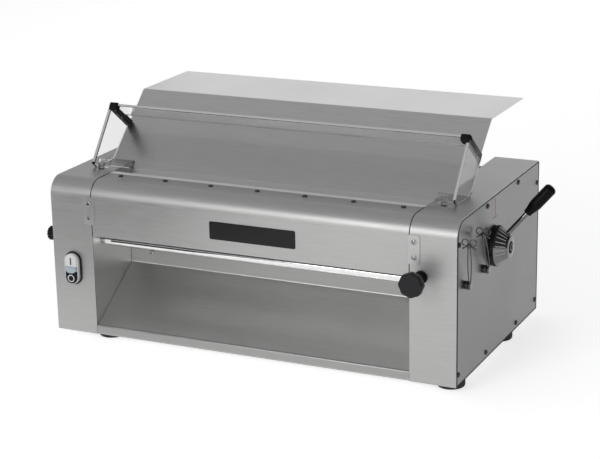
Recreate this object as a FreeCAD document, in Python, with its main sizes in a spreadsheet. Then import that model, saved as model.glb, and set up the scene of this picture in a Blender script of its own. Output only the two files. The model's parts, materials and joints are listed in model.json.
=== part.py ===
import FreeCAD, Part
import math
import os
import re
from types import SimpleNamespace

# An electric tabletop dough sheeter: two casing towers carry a pair of driven rollers,
# a feed tray and a clear guard above them, and a discharge chute below.
# While building, X runs to the right from the middle, Y back from the front faces and
# Z up from the table; the finished pieces are moved so that the origin lies under the
# middle of the whole machine. All sizes are millimetres, angles are degrees.

doc = FreeCAD.newDocument("dough_sheeter")
sheet = doc.addObject("Spreadsheet::Sheet", "Sizes")

sizes = {
    # Casing towers and base
    "body_width": 700,
    "body_depth": 391,
    "body_height": 258,
    "tower_width": 75,
    "sheet_gauge": 1.5,
    "front_bend": 28,
    "back_bend": 6,
    "flange_width": 15,
    "panel_gap": 1,
    "seat_gap": 0.2,
    "wall_gauge": 6,
    "base_gauge": 3,
    # Feet
    "foot_height": 12,
    "foot_radius": 22,
    "foot_left_inset": 81,
    "foot_right_inset": 22,
    "foot_front_y": 38,
    "foot_rear_y": 262,
    "foot_screw_length": 9,
    # Screws
    "screw_head_radius": 4,
    "screw_head_height": 2.2,
    "screw_shank_radius": 2,
    "screw_clearance": 0.15,
    "panel_screw_inset": 10,
    "panel_screw_front": 135,
    "panel_screw_back": 282,
    "panel_screw_low": 30,
    "panel_screw_drop": 36,
    # Front cover with its brackets and plate
    "cover_height": 90,
    "cover_gap": 0.5,
    "strip_depth": 62,
    "strip_screw_y": 50,
    "strip_screw_inset": 29,
    "strip_screw_count": 7,
    "rail_width": 20,
    "rail_height": 8,
    "bracket_width": 19,
    "bracket_height": 46,
    "bracket_gauge": 1.5,
    "bracket_drop": 71,
    "left_bracket_lap": 6,
    "right_bracket_lap": 2,
    "bracket_screw_pitch": 24,
    "plate_left": -60,
    "plate_width": 148,
    "plate_drop": 70,
    "plate_height": 29,
    "plate_gauge": 1,
    # Rollers, journals and bushes
    "roller_radius": 30,
    "roller_end_gap": 5,
    "front_roller_y": 47,
    "roller_drop": 53,
    "rest_gap": 3,
    "journal_radius": 10,
    "running_gap": 0.05,
    "bush_wall": 5,
    "bush_length": 14,
    # Roller gears
    "gear_inset": 27,
    "gear_width": 14,
    "gear_teeth": 20,
    "tooth_tip_radius": 35,
    "tooth_root_radius": 24.3,
    "tooth_tip_width": 1.5,
    "tooth_root_width": 4.6,
    # Gap adjuster: lever, shaft, spiral cams and roller carriages
    "hub_y": 170,
    "hub_drop": 83,
    "adjust_shaft_radius": 8,
    "cam_radius": 44,
    "cam_gauge": 8,
    "cam_inset": 16,
    "pin_radius": 4,
    "pin_distance": 30,
    "cam_rise": 1.7,
    "lever_min": -90,
    "lever_max": 180,
    "slide_gap": 0.3,
    "carriage_half_width": 22,
    "carriage_half_height": 22,
    "carriage_lip": 4,
    "carriage_gauge": 8,
    # Drive
    "motor_y": 270,
    "motor_z": 95,
    "motor_radius": 55,
    "motor_length": 190,
    "gearbox_length": 60,
    "gearbox_half": 48,
    "gearbox_rest_inset": 14,
    "drive_shaft_radius": 10,
    "pulley_inset": 45,
    "pulley_width": 16,
    "roller_pulley_radius": 40,
    "motor_pulley_radius": 20,
    "pulley_rim": 3,
    "rim_gauge": 2,
    "belt_gauge": 4,
    # Feed tray above the rollers and chute below them
    "tray_lap": 39.5,
    "tongue_end_y": 125,
    "tray_bend_y": 252,
    "tray_rise": 98,
    "tray_rear_y": 409,
    "tray_slope": 42.5,
    "tray_bend": 5,
    "tray_flange": 16,
    "chute_top_y": 119,
    "chute_drop": 62,
    "chute_lip_z": 27,
    "chute_lip_height": 12,
    "chute_screw_inset": 40,
    "chute_plate_drop": 14,
    "chute_side_gap": 0.5,
    "chute_bend": 2,
    # Clear guard with its bars and lugs
    "guard_y": 80,
    "guard_rise": 7,
    "guard_lean": 38,
    "guard_length": 110,
    "guard_gauge": 4,
    "guard_lap": 43,
    "head_width": 16,
    "head_depth": 12,
    "head_height": 14,
    "arm_width": 11,
    "arm_gauge": 9,
    "bar_proud": 3,
    "bar_rise": 2,
    "bar_gap": 0.5,
    "lug_inset": 21,
    "lug_width": 8,
    "lug_depth": 8,
    "hinge_pin_radius": 2,
    "knuckle_radius": 4,
    "knuckle_length": 9,
    "leaf_length": 14,
    "leaf_gauge": 2,
    # Scraper rods, blades, nuts, knob and clips
    "front_rod_y": 37,
    "rear_rod_y": 120,
    "rod_drop": 106,
    "rod_radius": 5,
    "rod_overhang": 3,
    "nut_radius": 7,
    "nut_length": 6,
    "blade_angle": 43.5,
    "blade_length": 36.4,
    "blade_gauge": 1.2,
    "sleeve_wall": 3,
    "rod_knob_radius": 12,
    "rod_knob_length": 30,
    "clip_wire_radius": 0.9,
    "clip_rise": 70,
    "front_clip_lean": 26,
    "rear_clip_lean": 47,
    "clip_stand_off": 15,
    "clip_loop_radius": 5,
    "clip_loop_out": 6.2,
    "clip_leg_spread": 1.3,
    "clip_foot_angle": 35,
    "clip_collar_radius": 3.2,
    "clip_tail": 8,
    # Adjusting hub and lever on the right side panel
    "hub_ring_radius": 31,
    "hub_ring_length": 2,
    "hub_large_radius": 32,
    "hub_small_radius": 17,
    "hub_cone_length": 24,
    "hub_screw_radius": 6,
    "hub_screw_height": 2,
    "lever_radius": 4,
    "lever_length": 77,
    "lever_out_angle": 39,
    "lever_back_angle": 15.6,
    "grip_length": 57,
    "grip_small_radius": 7.5,
    "grip_large_radius": 10,
    "grip_round": 4,
    "grip_overlap": 20,
    "label_width": 26,
    "label_height": 34,
    "label_drop": 40,
    "label_gauge": 0.6,
    # Star knob on the right tower
    "knob_inset": 19,
    "knob_drop": 89,
    "knob_radius": 19.5,
    "knob_length": 13,
    "knob_lobes": 8,
    "knob_front": 47,
    "knob_boss_radius": 12,
    "stud_radius": 5,
    # Push-button switch on the left tower
    "switch_inset": 37,
    "switch_drop": 148,
    "bezel_width": 30,
    "bezel_height": 56,
    "bezel_depth": 9,
    "button_radius": 10.5,
    "button_pitch": 28,
    "button_proud": 5,
    "stop_extra": 1,
    "button_travel": 3,
    "lens_width": 21,
    "lens_height": 7,
    "lens_proud": 1,
    "switch_hole_wall": 5,
    "block_depth": 42,
    # Back panel and cable gland
    "back_panel_drop": 20,
    "vent_length": 60,
    "vent_width": 5,
    "vent_pitch": 14,
    "vent_count": 7,
    "gland_radius": 11,
    "gland_bore_radius": 4,
    "gland_length": 16,
    "gland_z": 70,
    "tie_bar_size": 20,
    "tie_bar_y": 340,
    "tie_bar_drop": 45,
}
# Places that follow from the sizes: sideways from the walls, up and down from the towers' top
places = {
    "outer_x": "body_width / 2",
    "inner_x": "outer_x - tower_width",
    "tower_top": "foot_height + body_height",
    "foot_left_x": "foot_left_inset - outer_x",
    "foot_right_x": "outer_x - foot_right_inset",
    "panel_screw_high": "tower_top - panel_screw_drop",
    "cover_bottom": "tower_top - cover_height",
    "strip_screw_pitch": "2 * (inner_x - strip_screw_inset) / (strip_screw_count - 1)",
    "bracket_bottom": "tower_top - bracket_drop",
    "plate_bottom": "tower_top - plate_drop",
    "roller_z": "tower_top - roller_drop",
    "rear_roller_y": "front_roller_y + 2 * roller_radius + rest_gap",
    "gear_start": "inner_x + gear_inset",
    "hub_z": "tower_top - hub_drop",
    "cam_start": "inner_x + cam_inset",
    "pulley_start": "inner_x + pulley_inset",
    "rod_z": "tower_top - rod_drop",
    "tray_half_width": "inner_x + tray_lap",
    "tray_bend_z": "tower_top + tray_rise",
    "chute_top_z": "rod_z - chute_drop",
    "chute_plate_top": "rod_z - chute_plate_drop",
    "chute_screw_x": "inner_x - chute_screw_inset",
    "guard_z": "tower_top + guard_rise",
    "guard_half_width": "inner_x + guard_lap",
    "lug_x": "inner_x + lug_inset",
    "label_bottom": "tower_top - label_drop",
    "knob_x": "inner_x + knob_inset",
    "knob_z": "tower_top - knob_drop",
    "switch_x": "switch_inset - outer_x",
    "switch_z": "tower_top - switch_drop",
    "back_panel_top": "tower_top - back_panel_drop",
    "tie_bar_z": "tower_top - tie_bar_drop",
}
size_word = re.compile(r"\b(" + "|".join(sizes) + r")\b")
place_word = re.compile(r"\b(" + "|".join(places) + r")\b")
place_sheet = doc.addObject("Spreadsheet::Sheet", "Places")
for row, (alias, number) in enumerate(sizes.items(), 1):
    sheet.set(f"A{row}", alias)
    sheet.set(f"B{row}", str(number))
    sheet.setAlias(f"B{row}", alias)
for row, (alias, formula) in enumerate(places.items(), 1):
    place_sheet.set(f"A{row}", alias)
    place_sheet.set(f"B{row}", "=" + size_word.sub(r"Sizes.\1", formula))
    place_sheet.setAlias(f"B{row}", alias)
doc.recompute()

s = SimpleNamespace(
    **{alias: float(sheet.get(alias)) for alias in sizes},
    **{alias: float(place_sheet.get(alias)) for alias in places},
)
vector = FreeCAD.Vector
along_x = vector(1, 0, 0)
along_y = vector(0, 1, 0)
along_z = vector(0, 0, 1)
pieces = []
screws = []


def bind(obj, names, formulas):
    """Ties properties to the sheets; a formula names their cells as plain words."""
    for name, formula in zip(names, formulas):
        formula = size_word.sub(r"Sizes.\1", str(formula))
        obj.setExpression(name, place_word.sub(r"Places.\1", formula))
    return obj


def place(obj, start):
    return bind(obj, ("Placement.Base.x", "Placement.Base.y", "Placement.Base.z"), start)


def box(name, corner, size):
    obj = doc.addObject("Part::Box", name)
    bind(obj, ("Length", "Width", "Height"), size)
    return place(obj, corner)


def rod(name, start, along, radius, length):
    obj = doc.addObject("Part::Cylinder", name)
    obj.Placement = FreeCAD.Placement(vector(), FreeCAD.Rotation(along_z, along))
    bind(obj, ("Radius", "Height"), (radius, length))
    return place(obj, start)


def cone(name, start, along, first_radius, last_radius, length):
    obj = doc.addObject("Part::Cone", name)
    obj.Placement = FreeCAD.Placement(vector(), FreeCAD.Rotation(along_z, along))
    bind(obj, ("Radius1", "Radius2", "Height"), (first_radius, last_radius, length))
    return place(obj, start)


def fuse(name, *parts):
    obj = doc.addObject("Part::MultiFuse", name)
    obj.Shapes = parts
    return obj


def cut(name, base, *tools):
    obj = doc.addObject("Part::Cut", name)
    obj.Base = base
    obj.Tool = tools[0] if len(tools) == 1 else fuse(f"{name}_tools", *tools)
    return obj


def group(name, *parts):
    obj = doc.addObject("Part::Compound", name)
    obj.Links = parts
    return obj


def shaped(name, shape):
    obj = doc.addObject("Part::Feature", name)
    obj.Shape = shape.removeSplitter()
    return obj


def piece(obj):
    """Marks an object as a finished sub-part; its label names its file."""
    pieces.append(obj)
    return obj


def screw(name, seat, along, length):
    """A round-headed screw whose head sits on the point seat and points along."""
    back = along * -1
    head = rod(f"{name}_head", seat, along, "screw_head_radius", "screw_head_height")
    shank = rod(f"{name}_shank", seat, back, "screw_shank_radius", length)
    screws.append(fuse(name, head, shank))


def both_sides(shape):
    """A piece of the right side together with its mirror image on the left."""
    return Part.makeCompound([shape, shape.mirror(vector(), along_x)])


def drill(points, along, radius, depth):
    """Round cutters for holes that run from each point along a direction."""
    return [Part.makeCylinder(radius, depth, point, along) for point in points]


# Casing: each tower is a wrapped sheet with an inner wall and a screwed side panel
tower_top = s.tower_top
inner_x = s.inner_x
outer_x = s.outer_x
panel_seat_x = outer_x - s.sheet_gauge
flange_x = panel_seat_x - s.sheet_gauge
past = 2 * s.sheet_gauge


def tower_block(inset, low_x, high_x, bottom):
    """The towers' outline, bent at the top front and top back, drawn in by inset."""
    block = Part.makeBox(
        high_x - low_x,
        s.body_depth - 2 * inset,
        tower_top - inset - bottom,
        vector(low_x, inset, bottom),
    )
    for y, bend in ((inset, s.front_bend), (s.body_depth - inset, s.back_bend)):
        corner = vector((low_x + high_x) / 2, y, tower_top - inset)
        edge = min(block.Edges, key=lambda e: e.distToShape(Part.Vertex(corner))[0])
        block = block.makeFillet(max(bend - inset, s.sheet_gauge), [edge])
    return block


side_row_y = (s.panel_screw_front, s.panel_screw_back)
column_z = (s.panel_screw_low, s.panel_screw_high)
panel_screw_spots = [
    (y, z)
    for z in (s.foot_height + s.panel_screw_inset, tower_top - s.panel_screw_inset)
    for y in side_row_y
]
panel_screw_spots += [
    (y, z) for y in (s.panel_screw_inset, s.body_depth - s.panel_screw_inset) for z in column_z
]
panel_screw_points = [vector(flange_x - past, y, z) for y, z in panel_screw_spots]
screw_hole_radius = s.screw_shank_radius + s.screw_clearance
panel_screw_holes = drill(panel_screw_points, along_x, screw_hole_radius, 4 * past)

below = s.foot_height - past
wrap_shape = tower_block(0, inner_x, outer_x, s.foot_height).cut(
    [
        tower_block(s.sheet_gauge, inner_x - past, flange_x, below),
        tower_block(s.sheet_gauge + s.flange_width, inner_x, outer_x, s.foot_height + s.flange_width),
        tower_block(s.sheet_gauge, panel_seat_x, outer_x + past, below),
    ]
    + panel_screw_holes
)
# The fronts differ: a threaded bush for the star knob on the right, the switch block on the left.
knob_bush_hole = drill(
    [vector(s.knob_x, -past, s.knob_z)], along_y, s.stud_radius + s.bush_wall + s.seat_gap, 2 * past
)
left_bracket_x = -inner_x + s.left_bracket_lap - s.bracket_width
right_bracket_x = inner_x - s.right_bracket_lap


def bracket_holes(bracket_x):
    """The two holes behind a cover bracket, one above the other in the middle of it."""
    middle_z = s.bracket_bottom + s.bracket_height / 2
    return drill(
        [
            vector(bracket_x + s.bracket_width / 2, -past, middle_z + way * s.bracket_screw_pitch / 2)
            for way in (-1, 1)
        ],
        along_y,
        screw_hole_radius,
        2 * past,
    )


piece(shaped("right_wrap", wrap_shape.cut(knob_bush_hole + bracket_holes(right_bracket_x))))
switch_hole = drill(
    [vector(s.switch_x, -past, s.switch_z)], along_y, s.button_radius + s.switch_hole_wall, 2 * past
)
gland_hole = drill(
    [vector(s.switch_x, s.body_depth - past, s.gland_z)], along_y, s.gland_bore_radius, 2 * past
)
left_wrap_shape = wrap_shape.mirror(vector(), along_x).cut(gland_hole)
piece(shaped("left_wrap", left_wrap_shape.cut(switch_hole + bracket_holes(left_bracket_x))))

# Inner walls: thick plates that carry the rollers, the scraper rods and the adjusting shaft
rear_roller_y = s.rear_roller_y
slide_min = s.cam_rise * math.radians(s.lever_min)
slide_max = s.cam_rise * math.radians(s.lever_max)
wall_bottom = s.foot_height + s.base_gauge
slot_low_y = rear_roller_y - s.carriage_half_width + slide_min - s.slide_gap
slot_high_y = rear_roller_y + s.carriage_half_width + slide_max + s.slide_gap
slot_half_height = s.carriage_half_height + s.slide_gap
carriage_slot = Part.makeBox(
    s.wall_gauge + 2 * past,
    slot_high_y - slot_low_y,
    2 * slot_half_height,
    vector(inner_x - past, slot_low_y, s.roller_z - slot_half_height),
)


def wall_holes(spots):
    """Holes through an inner wall, each given as its y, z and radius."""
    through = s.wall_gauge + 2 * past
    return [
        Part.makeCylinder(radius, through, vector(inner_x - past, y, z), along_x)
        for y, z, radius in spots
    ]


rod_hole_radius = s.rod_radius + s.running_gap
wall_spots = [
    (s.front_roller_y, s.roller_z, s.journal_radius + s.bush_wall + s.running_gap),
    (s.front_rod_y, s.rod_z, rod_hole_radius),
    (s.rear_rod_y, s.rod_z, rod_hole_radius),
    (s.hub_y, s.hub_z, s.adjust_shaft_radius + s.running_gap),
]
wall_shape = tower_block(
    s.sheet_gauge + s.seat_gap, inner_x, inner_x + s.wall_gauge, wall_bottom
).cut([carriage_slot] + wall_holes(wall_spots))
piece(shaped("right_inner_wall", wall_shape))
drive_hole = wall_holes([(s.motor_y, s.motor_z, s.drive_shaft_radius + s.running_gap)])
piece(shaped("left_inner_wall", wall_shape.cut(drive_hole).mirror(vector(), along_x)))

# Side panels lie inside the wraps' edges on the flanges
panel_x = panel_seat_x - past
loose_rod_radius = s.rod_radius + s.slide_gap
rod_spots = [vector(panel_x, y, s.rod_z) for y in (s.front_rod_y, s.rear_rod_y)]
panel_shape = tower_block(
    s.sheet_gauge + s.panel_gap, panel_seat_x, outer_x, s.foot_height + s.panel_gap
).cut(panel_screw_holes + drill(rod_spots, along_x, loose_rod_radius, 4 * past))
hub_spot = [vector(panel_x, s.hub_y, s.hub_z)]
hub_hole = drill(hub_spot, along_x, s.adjust_shaft_radius + s.slide_gap, 4 * past)
piece(shaped("right_side_panel", panel_shape.cut(hub_hole)))
piece(shaped("left_side_panel", panel_shape.mirror(vector(), along_x)))
panel_screw_words = [
    (y, z)
    for y in ("panel_screw_front", "panel_screw_back")
    for z in ("foot_height + panel_screw_inset", "tower_top - panel_screw_inset")
]
panel_screw_words += [
    (y, z)
    for y in ("panel_screw_inset", "body_depth - panel_screw_inset")
    for z in ("panel_screw_low", "panel_screw_high")
]
for side, way in (("left", -1), ("right", 1)):
    for count, (y, z) in enumerate(panel_screw_words):
        seat = (f"{way} * outer_x", y, z)
        screw(f"panel_screw_{side}_{count}", seat, along_x * way, "3 * sheet_gauge")

# Base plate on four rubber feet, each held by a screw from above
foot_spots = [(x, y) for x in ("foot_left_x", "foot_right_x") for y in ("foot_front_y", "foot_rear_y")]
floor_inset = "(sheet_gauge + seat_gap)"
base_half = "(outer_x - 2 * sheet_gauge - seat_gap)"
base_blank = box(
    "base_blank",
    (f"-{base_half}", floor_inset, "foot_height"),
    (f"2 * {base_half}", f"body_depth - 2 * {floor_inset}", "base_gauge"),
)
foot_holes = [
    rod(f"foot_hole_{count}", (x, y, "foot_height - foot_screw_length"), along_z,
        "screw_shank_radius + screw_clearance", "2 * foot_screw_length")
    for count, (x, y) in enumerate(foot_spots)
]
piece(cut("base_plate", base_blank, *foot_holes))
piece(
    group(
        "feet",
        *[
            cut(
                f"foot_{count}",
                rod(f"foot_blank_{count}", (x, y, 0), along_z, "foot_radius", "foot_height"),
                hole,
            )
            for count, ((x, y), hole) in enumerate(zip(foot_spots, foot_holes))
        ],
    )
)
for count, (x, y) in enumerate(foot_spots):
    screw(f"foot_screw_{count}", (x, y, "foot_height + base_gauge"), along_z, "foot_screw_length")

# Front cover: bent like the towers, screwed to a rail that spans the inner walls
cover_half = inner_x - s.cover_gap
strip_steps = [number - (s.strip_screw_count - 1) / 2 for number in range(int(s.strip_screw_count))]
cover_shape = tower_block(0, -cover_half, cover_half, s.cover_bottom).cut(
    [
        tower_block(s.sheet_gauge, -cover_half - past, cover_half + past, s.cover_bottom - past),
        Part.makeBox(
            s.body_width, s.body_depth, s.body_height + past, vector(-outer_x, s.strip_depth, s.foot_height)
        ),
    ]
    + drill(
        [vector(step * s.strip_screw_pitch, s.strip_screw_y, tower_top - past) for step in strip_steps],
        along_z,
        screw_hole_radius,
        2 * past,
    )
)
piece(shaped("front_cover", cover_shape))
rail_top = "(tower_top - sheet_gauge)"
wall_span = "(2 * inner_x)"
strip_screw_length = "(sheet_gauge + rail_height - screw_clearance)"
rail_holes = [
    rod(
        f"rail_hole_{count}",
        (f"{step} * strip_screw_pitch", "strip_screw_y", f"{rail_top} - rail_height"),
        along_z,
        "screw_shank_radius + screw_clearance",
        "2 * rail_height",
    )
    for count, step in enumerate(strip_steps)
]
rail_blank = box(
    "rail_blank",
    (f"-{wall_span} / 2", "strip_screw_y - rail_width / 2", f"{rail_top} - rail_height"),
    (wall_span, "rail_width", "rail_height"),
)
piece(cut("cover_rail", rail_blank, *rail_holes))
for count, step in enumerate(strip_steps):
    seat = (f"{step} * strip_screw_pitch", "strip_screw_y", "tower_top")
    screw(f"cover_screw_{count}", seat, along_z, strip_screw_length)

# Brackets over the seams between the cover and the towers, and the bare plate on the cover
bracket_spots = {
    "left": "-inner_x + left_bracket_lap - bracket_width",
    "right": "inner_x - right_bracket_lap",
}
brackets = []
for side, low_x in bracket_spots.items():
    bracket_blank = box(
        f"{side}_bracket_blank",
        (low_x, "-bracket_gauge", "bracket_bottom"),
        ("bracket_width", "bracket_gauge", "bracket_height"),
    )
    screw_spots = [
        (
            f"{low_x} + bracket_width / 2",
            f"bracket_bottom + bracket_height / 2 + {way} * bracket_screw_pitch / 2",
        )
        for way in (-1, 1)
    ]
    bracket_cutters = [
        rod(f"{side}_bracket_hole_{count}", (x, "-2 * bracket_gauge", z), along_y,
            "screw_shank_radius + screw_clearance", "3 * bracket_gauge")
        for count, (x, z) in enumerate(screw_spots)
    ]
    brackets.append(cut(f"{side}_bracket", bracket_blank, *bracket_cutters))
    for count, (x, z) in enumerate(screw_spots):
        seat = (x, "-bracket_gauge", z)
        screw(f"{side}_bracket_screw_{count}", seat, along_y * -1, "bracket_gauge + sheet_gauge")
piece(group("cover_brackets", *brackets))
piece(
    box("name_plate", ("plate_left", "-plate_gauge", "plate_bottom"),
        ("plate_width", "plate_gauge", "plate_height"))
)

# Back panel between the towers, with vent slots for the motor, and a tie bar between the walls
panel_span = "(2 * inner_x - 2 * cover_gap)"
back_blank = box(
    "back_blank",
    (f"-{panel_span} / 2", "body_depth - sheet_gauge", "foot_height + base_gauge"),
    (panel_span, "sheet_gauge", "back_panel_top - foot_height - base_gauge"),
)
vent_middle = "(vent_count - 1) / 2"
vents = [
    box(
        f"vent_{side}_{count}",
        (
            f"{side} * (vent_length + vent_pitch) / 2 - vent_length / 2",
            "body_depth - 2 * sheet_gauge",
            f"motor_z + ({count} - {vent_middle}) * vent_pitch - vent_width / 2",
        ),
        ("vent_length", "3 * sheet_gauge", "vent_width"),
    )
    for side in (-1, 1)
    for count in range(int(s.vent_count))
]
piece(cut("back_panel", back_blank, *vents))


def bent_sheet(points, gauge, bend, half_width):
    """Sheet folded along X: points give one face as (y, z), and the gauge lies to their left."""
    face_line = [vector(0, y, z) for y, z in points]
    runs = [(b - a).normalize() for a, b in zip(face_line, face_line[1:])]
    lefts = [vector(0, -run.z, run.y) for run in runs]
    turned = [lefts[0]] + [(a + b) * (1 / (1 + a.dot(b))) for a, b in zip(lefts, lefts[1:])] + [lefts[-1]]
    back_line = [point + way * gauge for point, way in zip(face_line, turned)]
    outline = Part.Face(Part.makePolygon(face_line + back_line[::-1] + face_line[:1]))
    outline.translate(vector(-half_width, 0, 0))
    solid = outline.extrude(vector(2 * half_width, 0, 0))
    for index in range(1, len(points) - 1):
        left_turn = runs[index - 1].cross(runs[index]).x > 0
        for line, inside in ((face_line, not left_turn), (back_line, left_turn)):
            corner = Part.Vertex(line[index])
            edge = min(solid.Edges, key=lambda e: e.distToShape(corner)[0])
            solid = solid.makeFillet(bend if inside else bend + gauge, [edge])
    return solid


# Feed tray: level at the back, then a slope whose narrow tongue ends just above the rear roller
slope_rise = math.tan(math.radians(s.tray_slope))
tray_foot_y = s.tray_bend_y - (s.tray_bend_z - tower_top) / slope_rise
tongue_end_z = s.tray_bend_z - (s.tray_bend_y - s.tongue_end_y) * slope_rise
bend_point = (s.tray_bend_y, s.tray_bend_z)
tongue_half = inner_x - s.chute_side_gap
wide_sheet = bent_sheet(
    [(s.tray_rear_y, s.tray_bend_z), bend_point, (tray_foot_y, tower_top)],
    s.sheet_gauge,
    s.tray_bend,
    s.tray_half_width,
)
below_top = Part.makeBox(
    s.body_width, s.body_depth, s.body_height, vector(-outer_x, 0, tower_top - s.body_height)
)
tongue_sheet = bent_sheet(
    [((s.tray_bend_y + tray_foot_y) / 2, (s.tray_bend_z + tower_top) / 2), (s.tongue_end_y, tongue_end_z)],
    s.sheet_gauge,
    s.tray_bend,
    tongue_half,
)
tray_flange_width = s.tray_half_width - inner_x
tray_flanges = [
    Part.makeBox(
        tray_flange_width,
        s.tray_flange,
        s.sheet_gauge,
        vector(low_x, tray_foot_y + s.sheet_gauge, tower_top),
    )
    for low_x in (-s.tray_half_width, inner_x)
]
tray_shape = wide_sheet.cut(below_top).fuse([tongue_sheet] + tray_flanges)
piece(shaped("feed_tray", tray_shape))

# Discharge chute: a plate below the rear rod, the slope, and a folded lip above the base plate
chute_half = inner_x - s.chute_side_gap
chute_shape = bent_sheet(
    [
        (s.chute_top_y, s.chute_plate_top),
        (s.chute_top_y, s.chute_top_z),
        (0, s.chute_lip_z),
        (0, s.chute_lip_z - s.chute_lip_height),
    ],
    s.sheet_gauge,
    s.chute_bend,
    chute_half,
)
chute_screw_z = s.chute_top_z + s.tie_bar_size
chute_screw_points = [
    vector(side * s.chute_screw_x, s.chute_top_y - past, chute_screw_z) for side in (-1, 1)
]
chute_holes = drill(chute_screw_points, along_y, screw_hole_radius, 4 * past)
piece(shaped("discharge_chute", chute_shape.cut(chute_holes)))
for name, side in (("left", -1), ("right", 1)):
    seat = (f"{side} * chute_screw_x", "chute_top_y", "chute_top_z + tie_bar_size")
    screw(f"chute_screw_{name}", seat, along_y * -1, "sheet_gauge + tie_bar_size / 2")

# Tie bars between the inner walls: one high at the back, one behind the chute that its screws go into
tie_bars = []
for name, y, z in (
    ("rear", "tie_bar_y - tie_bar_size / 2", "tie_bar_z - tie_bar_size / 2"),
    ("chute", "chute_top_y + sheet_gauge", "chute_top_z + tie_bar_size / 2"),
):
    tie_bars.append(
        box(f"{name}_tie_bar", (f"-{wall_span} / 2", y, z), (wall_span, "tie_bar_size", "tie_bar_size"))
    )
chute_bar_holes = [
    rod(
        f"chute_bar_hole_{side}",
        (f"{side} * chute_screw_x", "chute_top_y", "chute_top_z + tie_bar_size"),
        along_y,
        "screw_shank_radius + screw_clearance",
        "tie_bar_size",
    )
    for side in (-1, 1)
]
piece(group("tie_bars", tie_bars[0], cut("drilled_chute_bar", tie_bars[1], *chute_bar_holes)))

# Clear guard: a leaning panel on two hinges, with a wing at each end that closes the way to the tray,
# and a black bar along the top of each wing, which has a head on the panel's corner
hinge_point = vector(0, s.guard_y, s.guard_z)


def lean(shape):
    """Moves a shape drawn upright on the hinge axis to the guard's place and lean."""
    return shape.translated(hinge_point).rotated(hinge_point, along_x, -s.guard_lean)


knuckle_x = s.lug_x - s.slide_gap - s.knuckle_length
notch_height = s.lug_depth + s.leaf_gauge
notch_width = s.knuckle_length + s.lug_width + 2 * s.leaf_gauge
guard_upright = Part.makeBox(
    2 * s.guard_half_width,
    s.guard_gauge,
    s.guard_length,
    vector(-s.guard_half_width, -s.guard_gauge / 2, 0),
)
hinge_notch = Part.makeBox(
    notch_width,
    2 * s.guard_gauge,
    2 * notch_height,
    vector(knuckle_x - s.leaf_gauge, -s.guard_gauge, -notch_height),
)
bar_lift = s.bar_gap / math.cos(math.radians(s.tray_slope))
bar_reach = s.tray_bend_y
under_tray = bent_sheet(
    [
        (s.tray_bend_y, s.tray_bend_z + bar_lift),
        (tray_foot_y, tower_top + bar_lift),
    ],
    bar_reach,
    s.tray_bend,
    outer_x,
)
under_wing = Part.makeBox(
    s.body_width, s.body_depth, s.body_height, vector(-outer_x, 0, tower_top + s.bar_gap - s.body_height)
)
bar_top = s.guard_length + s.bar_rise
arm_low = bar_top - (s.head_height + s.arm_gauge) / 2
wing = Part.makeBox(s.guard_gauge, bar_reach, arm_low, vector(s.guard_half_width - s.guard_gauge, 0, 0))
guard_upright = guard_upright.cut([hinge_notch, hinge_notch.mirror(vector(), along_x)])
guard_shape = lean(guard_upright.fuse([wing, wing.mirror(vector(), along_x)])).cut([under_tray, under_wing])
guard_shape = max(guard_shape.Solids, key=lambda solid: solid.BoundBox.ZMax)
piece(shaped("guard_panel", guard_shape))

bar_front = -s.guard_gauge / 2 - s.bar_proud
bar_head = Part.makeBox(
    s.head_width,
    s.head_depth,
    s.head_height,
    vector(s.guard_half_width - s.head_width, bar_front, bar_top - s.head_height),
)
bar_arm = Part.makeBox(
    s.arm_width, bar_reach, s.arm_gauge, vector(s.guard_half_width - s.arm_width, bar_front, arm_low)
)
bar_shape = lean(bar_head.fuse(bar_arm)).cut([guard_shape, under_tray])
bar_shape = max(bar_shape.Solids, key=lambda solid: solid.BoundBox.ZMax)
piece(shaped("guard_bars", both_sides(bar_shape)))

hinge_pin = Part.makeCylinder(
    s.hinge_pin_radius, s.knuckle_length + s.slide_gap + s.lug_width, vector(knuckle_x, 0, 0), along_x
)
knuckle = Part.makeCylinder(s.knuckle_radius, s.knuckle_length, vector(knuckle_x, 0, 0), along_x)
leaf = Part.makeBox(
    s.knuckle_length, s.leaf_gauge, s.leaf_length, vector(knuckle_x, s.guard_gauge / 2, 0)
)
hinge_shape = lean(knuckle.fuse([hinge_pin, leaf]))
piece(shaped("guard_hinges", both_sides(hinge_shape)))
lugs = []
for side, low_x in (("left", "-lug_x - lug_width"), ("right", "lug_x")):
    lug_block = box(
        f"{side}_lug_block",
        (low_x, "guard_y - lug_depth / 2", "tower_top"),
        ("lug_width", "lug_depth", "guard_z + lug_depth / 2 - tower_top"),
    )
    lug_hole = rod(
        f"{side}_lug_hole", (f"{low_x} - lug_width", "guard_y", "guard_z"), along_x,
        "hinge_pin_radius + running_gap", "3 * lug_width",
    )
    lugs.append(cut(f"{side}_lug", lug_block, lug_hole))
piece(group("guard_lugs", *lugs))

# Rollers: a smooth drum on a journal that runs in a bush at each end
drum_half = "(inner_x - roller_end_gap)"
journal_right = "(inner_x + bush_length + sheet_gauge)"
journal_lefts = {
    "front": "(pulley_start + pulley_width + rim_gauge)",
    "rear": "(gear_start + gear_width + sheet_gauge)",
}
for place_name, y in (("front", "front_roller_y"), ("rear", "rear_roller_y")):
    left_end = journal_lefts[place_name]
    drum = rod(
        f"{place_name}_drum", (f"-{drum_half}", y, "roller_z"), along_x, "roller_radius", f"2 * {drum_half}"
    )
    journal = rod(
        f"{place_name}_journal", (f"-{left_end}", y, "roller_z"), along_x,
        "journal_radius", f"{left_end} + {journal_right}",
    )
    piece(fuse(f"{place_name}_roller", drum, journal))

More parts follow.
